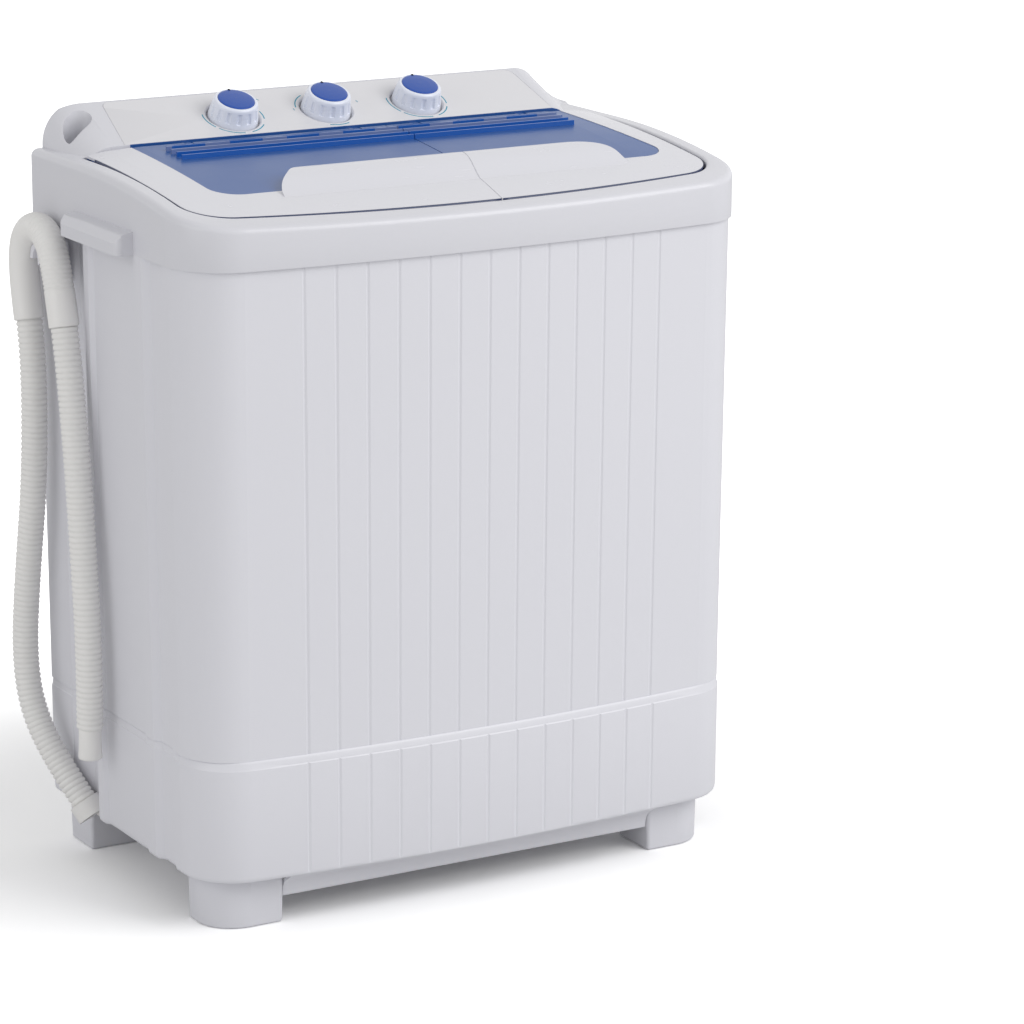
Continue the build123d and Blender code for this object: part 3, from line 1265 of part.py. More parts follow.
with BuildPart() as motor_dampers:
    for angle in (30, 150, 270):
        foot_x = SPIN_X + DAMPER_REACH * math.cos(math.radians(angle))
        foot_y = SPIN_Y + DAMPER_REACH * math.sin(math.radians(angle))
        top = SPIN_MOTOR_Z0 - 4
        add(turned(Plane((foot_x, foot_y, 0)), (0, DECK_TOP), (14, DECK_TOP), (14, DECK_TOP + 2.5),
                   (10, DECK_TOP + 5), (12.5, DECK_TOP + 9), (10, top - 5), (13, top - 2.5), (13, top),
                   (0, top)))
keep(motor_dampers, "motor_dampers")

# brake: a lever with a shoe, turned onto the drum when the spin lid is opened
BRAKE_PIVOT = (SPIN_X - 66.0, SPIN_Y - 36.0)
BRAKE_GAP = 3.2
with BuildPart() as brake_post:
    with BuildSketch(Plane.XY.offset(DECK_TOP)):
        with Locations(BRAKE_PIVOT):
            Circle(9)
    extrude(amount=142)
    with BuildSketch(Plane.XY.offset(DECK_TOP + 142)):
        with Locations(BRAKE_PIVOT):
            Circle(4)
    extrude(amount=26)
keep(brake_post, "brake_post")

with BuildPart() as brake_lever:
    with BuildSketch(Plane.XY.offset(DECK_TOP + 142.4)):
        with Locations(BRAKE_PIVOT):
            Circle(10)
        with Locations((SPIN_X - DRUM_R - BRAKE_GAP - 6, SPIN_Y + 4)):
            Rectangle(12, 30)
        make_hull()
        with Locations((SPIN_X, SPIN_Y)):
            Circle(DRUM_R + BRAKE_GAP, mode=Mode.SUBTRACT)
        with Locations(BRAKE_PIVOT):
            Circle(4 + RUN_FIT, mode=Mode.SUBTRACT)
    extrude(amount=14)
keep(brake_lever, "brake_lever")

# ---------------------------------------------------------------- drains and electrics
VALVE_TOP = WASH_FLOOR - TUB_WALL - 22
with BuildPart() as drain_valve:
    valve_axis = Plane((OUTLET[0], OUTLET[1], 0))
    add(turned(valve_axis, (OUTLET_R, VALVE_TOP), (OUTLET_R, VALVE_TOP - 4), (9, VALVE_TOP - 8),
               (9, VALVE_TOP - 40), (0, VALVE_TOP - 40), (0, VALVE_TOP - 62), (22, VALVE_TOP - 62),
               (26, VALVE_TOP - 52), (26, VALVE_TOP - 8), (20, VALVE_TOP), ))
    with BuildSketch(Plane((OUTLET[0], OUTLET[1] + 20, VALVE_TOP - 30), x_dir=(1, 0, 0), z_dir=(0, 1, 0))):
        Circle(13)
    extrude(amount=24)
keep(drain_valve, "drain_valve")

PIPE_START = (OUTLET[0], OUTLET[1] + 44, VALVE_TOP - 30)
pipe_route = [PIPE_START, (OUTLET[0], 120, PIPE_START[2]), (-238, 124, 135),
              (*PIPE_FOOT, 96), (*PIPE_FOOT, DECK_TOP - DECK_THICK)]
with BuildPart() as drain_pipe:
    with BuildLine() as pipe_line:
        FilletPolyline(*pipe_route, radius=20)
    with BuildSketch(Plane(origin=pipe_line.line @ 0, z_dir=pipe_line.line % 0)):
        Circle(PIPE_R)
    sweep()
keep(drain_pipe, "drain_pipe")

with BuildPart() as hose_gland:
    with BuildSketch(Plane(origin=HOSE_EXIT, z_dir=HOSE_EXIT_DIR)):
        Circle(HOSE_GLAND_R)
    extrude(amount=-16)
    # elbow under the deck that the inner pipe ends on
    with BuildSketch(Plane.XY.offset(DECK_TOP - DECK_THICK)):
        with Locations((PIPE_FOOT[0] + 0.5, 98)):
            RectangleRounded(21, 34, 4)
    extrude(amount=-14)
    with BuildSketch(Plane(origin=HOSE_EXIT, z_dir=HOSE_EXIT_DIR)):
        Circle(HOSE_R - 3)
    extrude(amount=-10, mode=Mode.SUBTRACT)
    with BuildSketch(Plane.XY.offset(DECK_TOP - DECK_THICK)):
        with Locations(PIPE_FOOT):
            Circle(PIPE_R - 2.5)
    extrude(amount=-9, mode=Mode.SUBTRACT)
keep(hose_gland, "hose_gland")

# free drain hose: up from the base, over the bend guide, down to the cuff
hose_route = [tuple(HOSE_EXIT), (-302.5, 126, 98.5), (-313.5, 153, 143), (-315, 164.5, 196),
              (-311.5, 160, 272), (-307.5, 146, 372), (HOSE_X, 144, 486), (HOSE_X, 163.5, 562),
              (HOSE_X, 158, 600), (HOSE_X, 127, 614), (HOSE_X, 98, 602), (HOSE_X, 84, 568),
              (HOSE_X, 66, 500), (HOSE_X, 52, 410), (HOSE_X, 42, 315), (HOSE_X, 34.5, 228),
              (HOSE_X, 36.5, 154)]


def corner_radii(route):
    """Radius at each inner point: 0.45 of the shorter run over the tangent of half the turn."""
    runs = [Vector(*b) - Vector(*a) for a, b in zip(route, route[1:])]
    radii = []
    for before, after in zip(runs, runs[1:]):
        turn = math.radians(before.get_angle(after))
        radii.append(0.45 * min(before.length, after.length) / math.tan(turn / 2))
    return radii


radii = corner_radii(hose_route)
print("hose radii", [round(r) for r in radii])
with BuildPart() as drain_hose:
    with BuildLine() as hose_line:
        FilletPolyline(*hose_route, radius=radii)
    with BuildSketch(Plane(origin=hose_line.line @ 0, z_dir=hose_line.line % 0)):
        Circle(HOSE_R)
    sweep()
hose_length = hose_line.wires()[0].length
section = math.pi * HOSE_R**2
print("hose length", round(hose_length), "volume ratio", drain_hose.part.volume / (section * hose_length))
keep(drain_hose, "drain_hose")

GUIDE_FIRST = 6
GUIDE_LAST = 12


def guide_form():
    """Bend guide as a solid tube over the top of the hose's route."""
    stretch = hose_route[GUIDE_FIRST:GUIDE_LAST + 1]
    start = Vector(*stretch[0]) * 0.55 + Vector(*stretch[1]) * 0.45
    end = Vector(*stretch[-1]) * 0.55 + Vector(*stretch[-2]) * 0.45
    with BuildPart() as tube:
        with BuildLine() as line:
            FilletPolyline(tuple(start), *stretch[1:-1], tuple(end),
                           radius=radii[GUIDE_FIRST:GUIDE_LAST - 1])
        with BuildSketch(Plane(origin=line.line @ 0, z_dir=line.line % 0)):
            Circle(GUIDE_R)
        sweep()
    return tube.part


with BuildPart() as hose_guide:
    add(guide_form())
    add(drain_hose.part, mode=Mode.SUBTRACT)
keep(hose_guide, "hose_guide")

CUFF_R = 10.6
CUFF_LENGTH = 30.0
with BuildPart() as hose_cuff:
    tip = Vector(*hose_route[-1])
    down = (tip - Vector(*hose_route[-2])).normalized()
    with BuildSketch(Plane(origin=tip, z_dir=down)):
        Circle(CUFF_R)
    extrude(amount=CUFF_LENGTH, taper=-1.0)
    with BuildSketch(Plane(origin=tip + down * (CUFF_LENGTH + 1), z_dir=down)):
        Circle(CUFF_R - 2)
    extrude(amount=-CUFF_LENGTH + 4, mode=Mode.SUBTRACT)
keep(hose_cuff, "hose_cuff")

HOOK_Y = 126.0
HOOK_Z = 580.0
HOOK_R = 18.5
HOOK_X = (-307.0, -284.0)
with BuildPart() as hose_hook:
    # half-round saddle with a stem, on a plate against the cabinet's side
    with BuildSketch(Plane.YZ.offset(HOOK_X[0])):
        with Locations((HOOK_Y, HOOK_Z)):
            Circle(HOOK_R)
            Circle(HOOK_R - 6, mode=Mode.SUBTRACT)
            with Locations((0, -HOOK_R)):
                Rectangle(2 * HOOK_R + 2, 2 * HOOK_R, mode=Mode.SUBTRACT)
            with Locations((0, 5)):
                Rectangle(3, 18)
    extrude(amount=HOOK_X[1] - HOOK_X[0])
    with BuildSketch(Plane.YZ.offset(HOOK_X[1] - 6)):
        with Locations((HOOK_Y + 2, HOOK_Z)):
            RectangleRounded(38, 42, 5)
    extrude(amount=6)
    add(cabinet_form(), mode=Mode.SUBTRACT)
    add(guide_form(), mode=Mode.SUBTRACT)
keep(hose_hook, "hose_hook")

# plane of the cabinet's back
PANEL_MID_Z = (PANEL_Z0 + PANEL_Z1) / 2
PANEL_HALF = (PANEL_Z1 - PANEL_Z0) / 2
PANEL_THICK = 1.8
back_plane = Plane((0, REAR_Y, PANEL_MID_Z), x_dir=(-1, 0, 0), z_dir=(0, 1, 0))
with BuildPart() as rear_panel:
    with BuildSketch(back_plane):
        RectangleRounded(2 * PANEL_X, 2 * PANEL_HALF, 12)
        with Locations((0, 92 - PANEL_HALF)):
            with GridLocations(120, 14, 2, 8):
                SlotOverall(78, 5, mode=Mode.SUBTRACT)
    extrude(amount=PANEL_THICK)
keep(rear_panel, "rear_panel")

with BuildPart() as rear_screws:
    with BuildSketch(back_plane.offset(PANEL_THICK)):
        with GridLocations(2 * PANEL_X - 14, PANEL_HALF - 14, 2, 3):
            Circle(4.2)
    extrude(amount=1.6, taper=30)
keep(rear_screws, "rear_screws")

with BuildPart() as capacitors:
    for x, y, radius in ((-205, 128, 17), (-165, 128, 14)):
        add(turned(Plane((x, y, 0)), (0, DECK_TOP), (radius, DECK_TOP), (radius, DECK_TOP + 64),
                   (radius - 2, DECK_TOP + 66), (0, DECK_TOP + 66)))
keep(capacitors, "capacitors")

with BuildPart() as terminal_box:
    with BuildSketch(Plane.XY.offset(DECK_TOP)):
        with Locations((150, 120)):
            RectangleRounded(84, 46, 5)
    extrude(amount=52)
    fillet(terminal_box.edges().group_by(Axis.Z)[-1], 2)
keep(terminal_box, "terminal_box")

with BuildPart() as cord_gland:
    add(turned(Plane((GLAND_X, REAR_Y - 8.5, GLAND_Z), x_dir=(1, 0, 0), z_dir=(0, 1, 0)),
               (4, 0), (GLAND_R, 0), (GLAND_R, 8.5), (GLAND_R + 4, 8.5), (GLAND_R + 3.4, 10.4),
               (6.5, 11.2), (5.6, 12), (4, 12)))
keep(cord_gland, "cord_gland")
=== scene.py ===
import json
import math
from bisect import bisect_right

import bmesh
import bpy
from mathutils import Matrix, Vector
from mathutils.bvhtree import BVHTree


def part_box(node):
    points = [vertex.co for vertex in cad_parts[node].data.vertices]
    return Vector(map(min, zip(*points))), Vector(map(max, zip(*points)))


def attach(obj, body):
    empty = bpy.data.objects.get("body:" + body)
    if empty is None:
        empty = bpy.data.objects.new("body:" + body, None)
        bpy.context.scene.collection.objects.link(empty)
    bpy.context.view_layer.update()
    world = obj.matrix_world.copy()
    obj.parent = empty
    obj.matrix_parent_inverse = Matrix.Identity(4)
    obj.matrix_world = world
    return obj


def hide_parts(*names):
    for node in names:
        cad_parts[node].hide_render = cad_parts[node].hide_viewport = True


bl_info = {
    "name": "Twin Tub Washer",
    "version": (1, 0, 0),
    "blender": (4, 5, 0),
    "location": "View3D > Sidebar > Twin Tub",
    "description": "Finishes and details a twin tub washer around its packed frame",
    "category": "Object",
}

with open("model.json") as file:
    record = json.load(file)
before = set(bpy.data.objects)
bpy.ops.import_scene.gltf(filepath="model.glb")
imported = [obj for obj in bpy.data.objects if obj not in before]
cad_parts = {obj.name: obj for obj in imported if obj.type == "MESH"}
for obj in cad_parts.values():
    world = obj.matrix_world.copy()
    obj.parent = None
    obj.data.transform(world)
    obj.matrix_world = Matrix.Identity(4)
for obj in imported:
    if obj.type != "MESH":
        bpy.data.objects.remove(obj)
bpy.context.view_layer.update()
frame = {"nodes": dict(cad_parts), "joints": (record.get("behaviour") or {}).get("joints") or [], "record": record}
MM = 0.001


# ---------------------------------------------------------------- settings
class WasherFinishes(bpy.types.PropertyGroup):
    """Colours of the washer's mouldings."""
    shell: bpy.props.FloatVectorProperty(
        name="Cabinet white", description="Colour of the cabinet, base, top frame and feet",
        subtype="COLOR", size=3, min=0, max=1, default=(0.70, 0.70, 0.745))
    trim: bpy.props.FloatVectorProperty(
        name="Trim white", description="Colour of the lids",
        subtype="COLOR", size=3, min=0, max=1, default=(0.70, 0.70, 0.745))
    panel: bpy.props.FloatVectorProperty(
        name="Panel white", description="Colour of the control fascia",
        subtype="COLOR", size=3, min=0, max=1, default=(0.715, 0.71, 0.735))
    knob: bpy.props.FloatVectorProperty(
        name="Knob white", description="Colour of the knobs",
        subtype="COLOR", size=3, min=0, max=1, default=(0.82, 0.85, 0.94))
    tub: bpy.props.FloatVectorProperty(
        name="Tub white", description="Colour of the tubs and the basket",
        subtype="COLOR", size=3, min=0, max=1, default=(0.72, 0.74, 0.76))
    hose: bpy.props.FloatVectorProperty(
        name="Hose white", description="Colour of the drain hose and its guide",
        subtype="COLOR", size=3, min=0, max=1, default=(0.81, 0.80, 0.785))
    tint: bpy.props.FloatVectorProperty(
        name="Window tint", description="Colour of the lid windows and of the ledge behind them",
        subtype="COLOR", size=3, min=0, max=1, default=(0.012, 0.078, 0.29))
    rib: bpy.props.FloatVectorProperty(
        name="Rib blue", description="Colour of the front ribs and the dashes on the windows",
        subtype="COLOR", size=3, min=0, max=1, default=(0.008, 0.095, 0.40))
    pale_rib: bpy.props.FloatVectorProperty(
        name="Pale rib", description="Colour of the two rear ribs on the windows",
        subtype="COLOR", size=3, min=0, max=1, default=(0.15, 0.21, 0.42))
    cap: bpy.props.FloatVectorProperty(
        name="Cap blue", description="Colour of the knob caps",
        subtype="COLOR", size=3, min=0, max=1, default=(0.006, 0.07, 0.38))
    marks: bpy.props.FloatVectorProperty(
        name="Dial marks", description="Colour of the marks round the dials",
        subtype="COLOR", size=3, min=0, max=1, default=(0.05, 0.33, 0.46))


class HoseSizes(bpy.types.PropertyGroup):
    """Sizes of the drain hose."""
    radius: bpy.props.FloatProperty(
        name="Radius", description="Outer radius over the ridges", subtype="DISTANCE",
        unit="LENGTH", default=0.0126, min=0.005, max=0.03)
    pitch: bpy.props.FloatProperty(
        name="Pitch", description="Distance from ridge to ridge", subtype="DISTANCE",
        unit="LENGTH", default=0.0052, min=0.002, max=0.02)
    groove: bpy.props.FloatProperty(
        name="Groove", description="Depth of the grooves between the ridges", subtype="DISTANCE",
        unit="LENGTH", default=0.0015, min=0, max=0.005)


class DialSizes(bpy.types.PropertyGroup):
    """Sizes of the marks printed round the dials."""
    radius: bpy.props.FloatProperty(
        name="Radius", description="Radius of the printed arcs", subtype="DISTANCE",
        unit="LENGTH", default=0.0300, min=0.027, max=0.04)
    width: bpy.props.FloatProperty(
        name="Width", description="Width of the printed arcs", subtype="DISTANCE",
        unit="LENGTH", default=0.0011, min=0.0002, max=0.003)


class StudioSettings(bpy.types.PropertyGroup):
    """Camera and light of the studio."""
    focal: bpy.props.FloatProperty(
        name="Focal length", description="Lens of the camera", subtype="DISTANCE_CAMERA",
        default=140.03, min=20, max=400)
    azimuth: bpy.props.FloatProperty(
        name="Azimuth", description="Turn of the camera from the front, negative to the left",
        subtype="ANGLE", default=math.radians(-29.5))
    elevation: bpy.props.FloatProperty(
        name="Elevation", description="Height of the camera above the horizon", subtype="ANGLE",
        default=math.radians(14.5))
    distance: bpy.props.FloatProperty(
        name="Distance", description="From the camera to its target", subtype="DISTANCE",
        unit="LENGTH", default=3.796, min=0.5)
    key: bpy.props.FloatProperty(
        name="Key light", description="Power of the large front light", subtype="POWER",
        default=73.0, min=0)
    fill: bpy.props.FloatProperty(
        name="Side light", description="Power of the light on the left side", subtype="POWER",
        default=17.5, min=0)
    ambient: bpy.props.FloatProperty(
        name="Ambient", description="Level of the light from all round",
        default=0.585, min=0, max=2)


# ---------------------------------------------------------------- shader groups
def group_sockets(group, inputs, outputs):
    """Declares a node group's sockets and returns its input and output nodes."""
    for label, kind, default in inputs:
        socket = group.interface.new_socket(label, in_out="INPUT", socket_type=kind)
        socket.default_value = default
    for label, kind in outputs:
        group.interface.new_socket(label, in_out="OUTPUT", socket_type=kind)
    return group.nodes.new("NodeGroupInput"), group.nodes.new("NodeGroupOutput")


def moulding_group():
    """Faint tone drift, uneven gloss and fine grain of an injection moulding."""
    if "Moulding" in bpy.data.node_groups:
        return bpy.data.node_groups["Moulding"]
    group = bpy.data.node_groups.new("Moulding", "ShaderNodeTree")
    given, result = group_sockets(
        group,
        [("Color", "NodeSocketColor", (0.8, 0.8, 0.8, 1)), ("Drift", "NodeSocketFloat", 0.03),
         ("Roughness", "NodeSocketFloat", 0.35), ("Grain Scale", "NodeSocketFloat", 900.0),
         ("Scuffs", "NodeSocketFloat", 0.1)],
        [("Color", "NodeSocketColor"), ("Roughness", "NodeSocketFloat"),
         ("Height", "NodeSocketFloat")])
    nodes, link = group.nodes, group.links.new
    place = nodes.new("ShaderNodeTexCoord")
    cloud = nodes.new("ShaderNodeTexNoise")
    cloud.inputs["Scale"].default_value = 5.0
    cloud.inputs["Detail"].default_value = 3.0
    link(place.outputs["Object"], cloud.inputs["Vector"])
    shade = nodes.new("ShaderNodeMath")
    shade.operation = "MULTIPLY_ADD"
    shade.inputs[2].default_value = 1.0
    centred = nodes.new("ShaderNodeMath")
    centred.operation = "SUBTRACT"
    centred.inputs[1].default_value = 0.5
    link(cloud.outputs["Fac"], centred.inputs[0])
    link(centred.outputs[0], shade.inputs[0])
    link(given.outputs["Drift"], shade.inputs[1])
    tint = nodes.new("ShaderNodeVectorMath")
    tint.operation = "SCALE"
    link(given.outputs["Color"], tint.inputs[0])
    link(shade.outputs[0], tint.inputs["Scale"])
    link(tint.outputs["Vector"], result.inputs["Color"])
    # scuffs: thin stretched streaks that dull the gloss
    stretch = nodes.new("ShaderNodeMapping")
    stretch.inputs["Scale"].default_value = (9.0, 9.0, 60.0)
    link(place.outputs["Object"], stretch.inputs["Vector"])
    streak = nodes.new("ShaderNodeTexNoise")
    streak.inputs["Scale"].default_value = 4.0
    streak.inputs["Detail"].default_value = 6.0
    link(stretch.outputs["Vector"], streak.inputs["Vector"])
    gloss = nodes.new("ShaderNodeMath")
    gloss.operation = "MULTIPLY_ADD"
    link(streak.outputs["Fac"], gloss.inputs[0])
    link(given.outputs["Scuffs"], gloss.inputs[1])
    link(given.outputs["Roughness"], gloss.inputs[2])
    link(gloss.outputs[0], result.inputs["Roughness"])
    grain = nodes.new("ShaderNodeTexNoise")
    grain.inputs["Detail"].default_value = 2.0
    link(place.outputs["Object"], grain.inputs["Vector"])
    link(given.outputs["Grain Scale"], grain.inputs["Scale"])
    link(grain.outputs["Fac"], result.inputs["Height"])
    return group


def plastic(name, colour, roughness, grain, drift, scuffs, grain_scale=900.0, **shader):
    """Moulded plastic or another smooth finish, with the Moulding group behind it."""
    material = bpy.data.materials.new(name)
    material.use_nodes = True
    tree = material.node_tree
    surface = tree.nodes["Principled BSDF"]
    mould = tree.nodes.new("ShaderNodeGroup")
    mould.node_tree = moulding_group()
    mould.inputs["Color"].default_value = (*colour, 1)
    mould.inputs["Drift"].default_value = drift
    mould.inputs["Roughness"].default_value = roughness
    mould.inputs["Grain Scale"].default_value = grain_scale
    mould.inputs["Scuffs"].default_value = scuffs
    bump = tree.nodes.new("ShaderNodeBump")
    bump.inputs["Strength"].default_value = grain
    bump.inputs["Distance"].default_value = 0.0005
    tree.links.new(mould.outputs["Color"], surface.inputs["Base Color"])
    tree.links.new(mould.outputs["Roughness"], surface.inputs["Roughness"])
    tree.links.new(mould.outputs["Height"], bump.inputs["Height"])
    tree.links.new(bump.outputs["Normal"], surface.inputs["Normal"])
    for socket, value in shader.items():
        surface.inputs[socket.replace("_", " ")].default_value = value
    return material


def zone_group():
    """Mask that is 1 inside a box in the object's own space."""
    if "Zone" in bpy.data.node_groups:
        return bpy.data.node_groups["Zone"]
    group = bpy.data.node_groups.new("Zone", "ShaderNodeTree")
    given, result = group_sockets(
        group,
        [("Low", "NodeSocketVector", (-1, -1, -1)), ("High", "NodeSocketVector", (1, 1, 1))],
        [("Mask", "NodeSocketFloat")])
    nodes, link = group.nodes, group.links.new
    place = nodes.new("ShaderNodeTexCoord").outputs["Object"]
    above, below, least = (nodes.new("ShaderNodeVectorMath") for _ in range(3))
    above.operation = below.operation = "SUBTRACT"
    least.operation = "MINIMUM"
    link(place, above.inputs[0])
    link(given.outputs["Low"], above.inputs[1])
    link(given.outputs["High"], below.inputs[0])
    link(place, below.inputs[1])
    link(above.outputs["Vector"], least.inputs[0])
    link(below.outputs["Vector"], least.inputs[1])
    split = nodes.new("ShaderNodeSeparateXYZ")
    link(least.outputs["Vector"], split.inputs["Vector"])
    inside = split.outputs["X"]
    for side in ("Y", "Z"):
        both = nodes.new("ShaderNodeMath")
        both.operation = "MINIMUM"
        link(inside, both.inputs[0])
        link(split.outputs[side], both.inputs[1])
        inside = both.outputs[0]
    mask = nodes.new("ShaderNodeMath")
    mask.operation = "GREATER_THAN"
    mask.inputs[1].default_value = 0.0
    link(inside, mask.inputs[0])
    link(mask.outputs[0], result.inputs["Mask"])
    return group


def colour_zones(material, zones):
    """Gives a material other colours inside boxes of the object's own space, in mm."""
    tree = material.node_tree
    surface = tree.nodes["Principled BSDF"]
    for colour, low, high in zones:
        zone = tree.nodes.new("ShaderNodeGroup")
        zone.node_tree = zone_group()
        zone.inputs["Low"].default_value = [v * MM for v in low]
        zone.inputs["High"].default_value = [v * MM for v in high]
        tone = tree.nodes.new("ShaderNodeMix")
        tone.data_type = "RGBA"
        tone.inputs["B"].default_value = (*colour, 1)
        tree.links.new(surface.inputs["Base Color"].links[0].from_socket, tone.inputs["A"])
        tree.links.new(zone.outputs["Mask"], tone.inputs["Factor"])
        tree.links.new(tone.outputs["Result"], surface.inputs["Base Color"])
    return material


# ribs on the windows, in millimetres: the two front ones in full blue, and the two pale rear
# ones, of which the rearmost has blue dashes
RIB_ENDS = (-201.7, 215.2)
FRONT_RIBS_Y = (35.8, 49.2)
PALE_RIBS_Y = ((57.8, 60.2), (68.8, 71.2))
DASH_COUNT, DASH_START, DASH_PITCH, DASH_LENGTH = 7, -196.0, 59.2, 34.0
# heights between the windows' undersides and their tops, and one above everything
FRONT_RIBS_FLOOR, REAR_RIBS_FLOOR, RIBS_CEILING = 675.3, 677.1, 800

# ledge and hinge lugs between the lids and the fascia, in the windows' colour
LEDGE_ZONE = ((-224, 84, 656), (252, 100.2, 720))


def rib_zones(colours):
    """Colours of the ribs on top of the windows; the undersides stay plain."""
    def along(colour, x, y, floor=REAR_RIBS_FLOOR):
        return colour, (x[0], y[0], floor), (x[1], y[1], RIBS_CEILING)

    zones = [along(colours.rib, RIB_ENDS, FRONT_RIBS_Y, FRONT_RIBS_FLOOR)]
    zones += [along(colours.pale_rib, RIB_ENDS, y) for y in PALE_RIBS_Y]
    for i in range(DASH_COUNT):
        left = DASH_START + i * DASH_PITCH
        zones.append(along(colours.rib, (left, left + DASH_LENGTH), PALE_RIBS_Y[1]))
    return zones


# lightness against the cabinet's white, or for the guide against the hose's; the top frame's darker tone is
# painted shade, taking back the strong light on its upturned faces
FRAME_SHADE_TONE, FOOT_TONE, GUIDE_TONE = 0.95, 0.97, 1.02
# the tinted panes' edges round the lids: darker than the tint, painted shade of the gap between lid and rim
PANE_EDGE_AND_GAP_SHADE_COLOUR = (0.006, 0.02, 0.09)

FINISHES = {}


def toned(colour, tone):
    """Colour made lighter or darker."""
    return [c * tone for c in colour]


def make_finishes():
    """One material for each finish of the washer."""
    colours = bpy.context.scene.washer_finishes
    FINISHES["shell"] = plastic("cabinet_plastic", colours.shell, 0.30, 0.05, 0.02, 0.12, 1400)
    # the top frame in the cabinet's white made darker: painted shade against the light that falls on its top
    FINISHES["frame"] = colour_zones(
        plastic("top_frame_plastic", toned(colours.shell, FRAME_SHADE_TONE), 0.26, 0.03, 0.02, 0.1,
                1400),
        [(colours.tint, *LEDGE_ZONE)])
    FINISHES["trim"] = plastic("trim_plastic", colours.trim, 0.22, 0.02, 0.015, 0.08)
    FINISHES["tub"] = plastic("tub_plastic", colours.tub, 0.28, 0.03, 0.04, 0.15)
    FINISHES["foot"] = plastic("foot_plastic", toned(colours.shell, FOOT_TONE), 0.45, 0.15, 0.05,
                               0.2)
    FINISHES["hose"] = plastic("hose_plastic", colours.hose, 0.42, 0.06, 0.06, 0.1,
                               Subsurface_Weight=0.1, Subsurface_Radius=(0.004, 0.004, 0.004))
    FINISHES["guide"] = plastic("guide_plastic", toned(colours.hose, GUIDE_TONE), 0.38, 0.04,
                                0.03, 0.1)
    FINISHES["tint"] = colour_zones(
        plastic("tinted_plastic", colours.tint, 0.27, 0.01, 0.05, 0.06, IOR=1.46),
        rib_zones(colours))
    # painted shade: the panes' edges in the gap round the lids, darker than the tint
    FINISHES["edge"] = plastic("pane_edge_and_gap_shade_plastic", PANE_EDGE_AND_GAP_SHADE_COLOUR, 0.3, 0.01, 0.05, 0.06)
    FINISHES["panel"] = plastic("panel_plastic", colours.panel, 0.28, 0.02, 0.015, 0.08)
    FINISHES["knob"] = plastic("knob_plastic", colours.knob, 0.24, 0.02, 0.015, 0.08)
    FINISHES["cap"] = plastic("cap_plastic", colours.cap, 0.18, 0.02, 0.03, 0.08)
    FINISHES["marks"] = plastic("dial_ink", colours.marks, 0.5, 0.02, 0.05, 0.1)
    FINISHES["dark"] = plastic("black_plastic", (0.02, 0.02, 0.022), 0.45, 0.1, 0.2, 0.2)
    FINISHES["rubber"] = plastic("drive_rubber", (0.015, 0.015, 0.015), 0.6, 0.2, 0.3, 0.2)
    FINISHES["steel"] = plastic("plated_steel", (0.5, 0.5, 0.5), 0.3, 0.05, 0.1, 0.2, Metallic=1.0)
    FINISHES["alloy"] = plastic("cast_alloy", (0.55, 0.55, 0.56), 0.45, 0.3, 0.1, 0.2, 500,
                                Metallic=1.0)
    FINISHES["motor"] = plastic("motor_paint", (0.08, 0.085, 0.09), 0.4, 0.1, 0.1, 0.2)


SLOT_FINISH = {
    "shell_white": "shell", "trim_white": "trim", "tub_white": "tub", "tinted_blue": "tint",
    "cap_blue": "cap", "hose_white": "hose", "guide_white": "guide", "foot_white": "foot",
    "dark_plastic": "dark", "drive_black": "rubber", "plated_steel": "steel",
    "motor_grey": "motor", "cast_alloy": "alloy",
}


# ---------------------------------------------------------------- mesh helpers
def new_piece(name, mesh_maker, finish, body):
    """Object from a bmesh, with its finish, body and material slot."""
    mesh = bpy.data.meshes.new(name)
    mesh_maker.to_mesh(mesh)
    mesh_maker.free()
    mesh.shade_smooth()
    piece = bpy.data.objects.new(name, mesh)
    bpy.context.scene.collection.objects.link(piece)
    piece.data.materials.append(FINISHES[finish])
    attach(piece, body)
    return piece


def extrude(work, edges):
    """Extrudes edges where they are; returns the new vertices and the new edges."""
    made = bmesh.ops.extrude_edge_only(work, edges=edges)["geom"]
    return ([g for g in made if isinstance(g, bmesh.types.BMVert)],
            [g for g in made if isinstance(g, bmesh.types.BMEdge)])


# ---------------------------------------------------------------- drain hose
# the hose's route, from its gland in the base to its end, in millimetres
HOSE_ROUTE = [
    (-285, 100.6, 60), (-302.5, 126, 98.5), (-313.5, 153, 143), (-315, 164.5, 196),
    (-311.5, 160, 272), (-307.5, 146, 372), (-306, 144, 486), (-306, 163.5, 562),
    (-306, 158, 600), (-306, 127, 614), (-306, 98, 602), (-306, 84, 568),
    (-306, 66, 500), (-306, 52, 410), (-306, 42, 315), (-306, 34.5, 228), (-306, 36.5, 154),
]


HOSE_SEGMENTS, GUIDE_SEGMENTS, CUFF_SEGMENTS = 28, 48, 40
# ridges and grooves, as shares of a pitch and of the groove's depth: 0 on the ridge
RIDGE_SHAPE = ((0.0, 1.0), (0.16, 0.35), (0.34, 0.04), (0.66, 0.04), (0.84, 0.35))
# the bend guide, in metres: heights of its ends and of its last rib, its ribs and its wall
GUIDE_START, GUIDE_RIBS_END, GUIDE_END = 0.520, 0.5585, 0.527
GUIDE_PROUD, GUIDE_WALL = 0.0015, 0.0008
GUIDE_RIBS_LEAD, GUIDE_RIB_PITCH = 0.012, 0.0042
GUIDE_RIB_SHAPE = ((0.0, 0.0), (0.12, 0.0005), (0.28, 0.0007), (0.45, 0.0005), (0.6, 0.0))
GUIDE_SMOOTH_RINGS, GUIDE_TAIL_RINGS = 24, 6


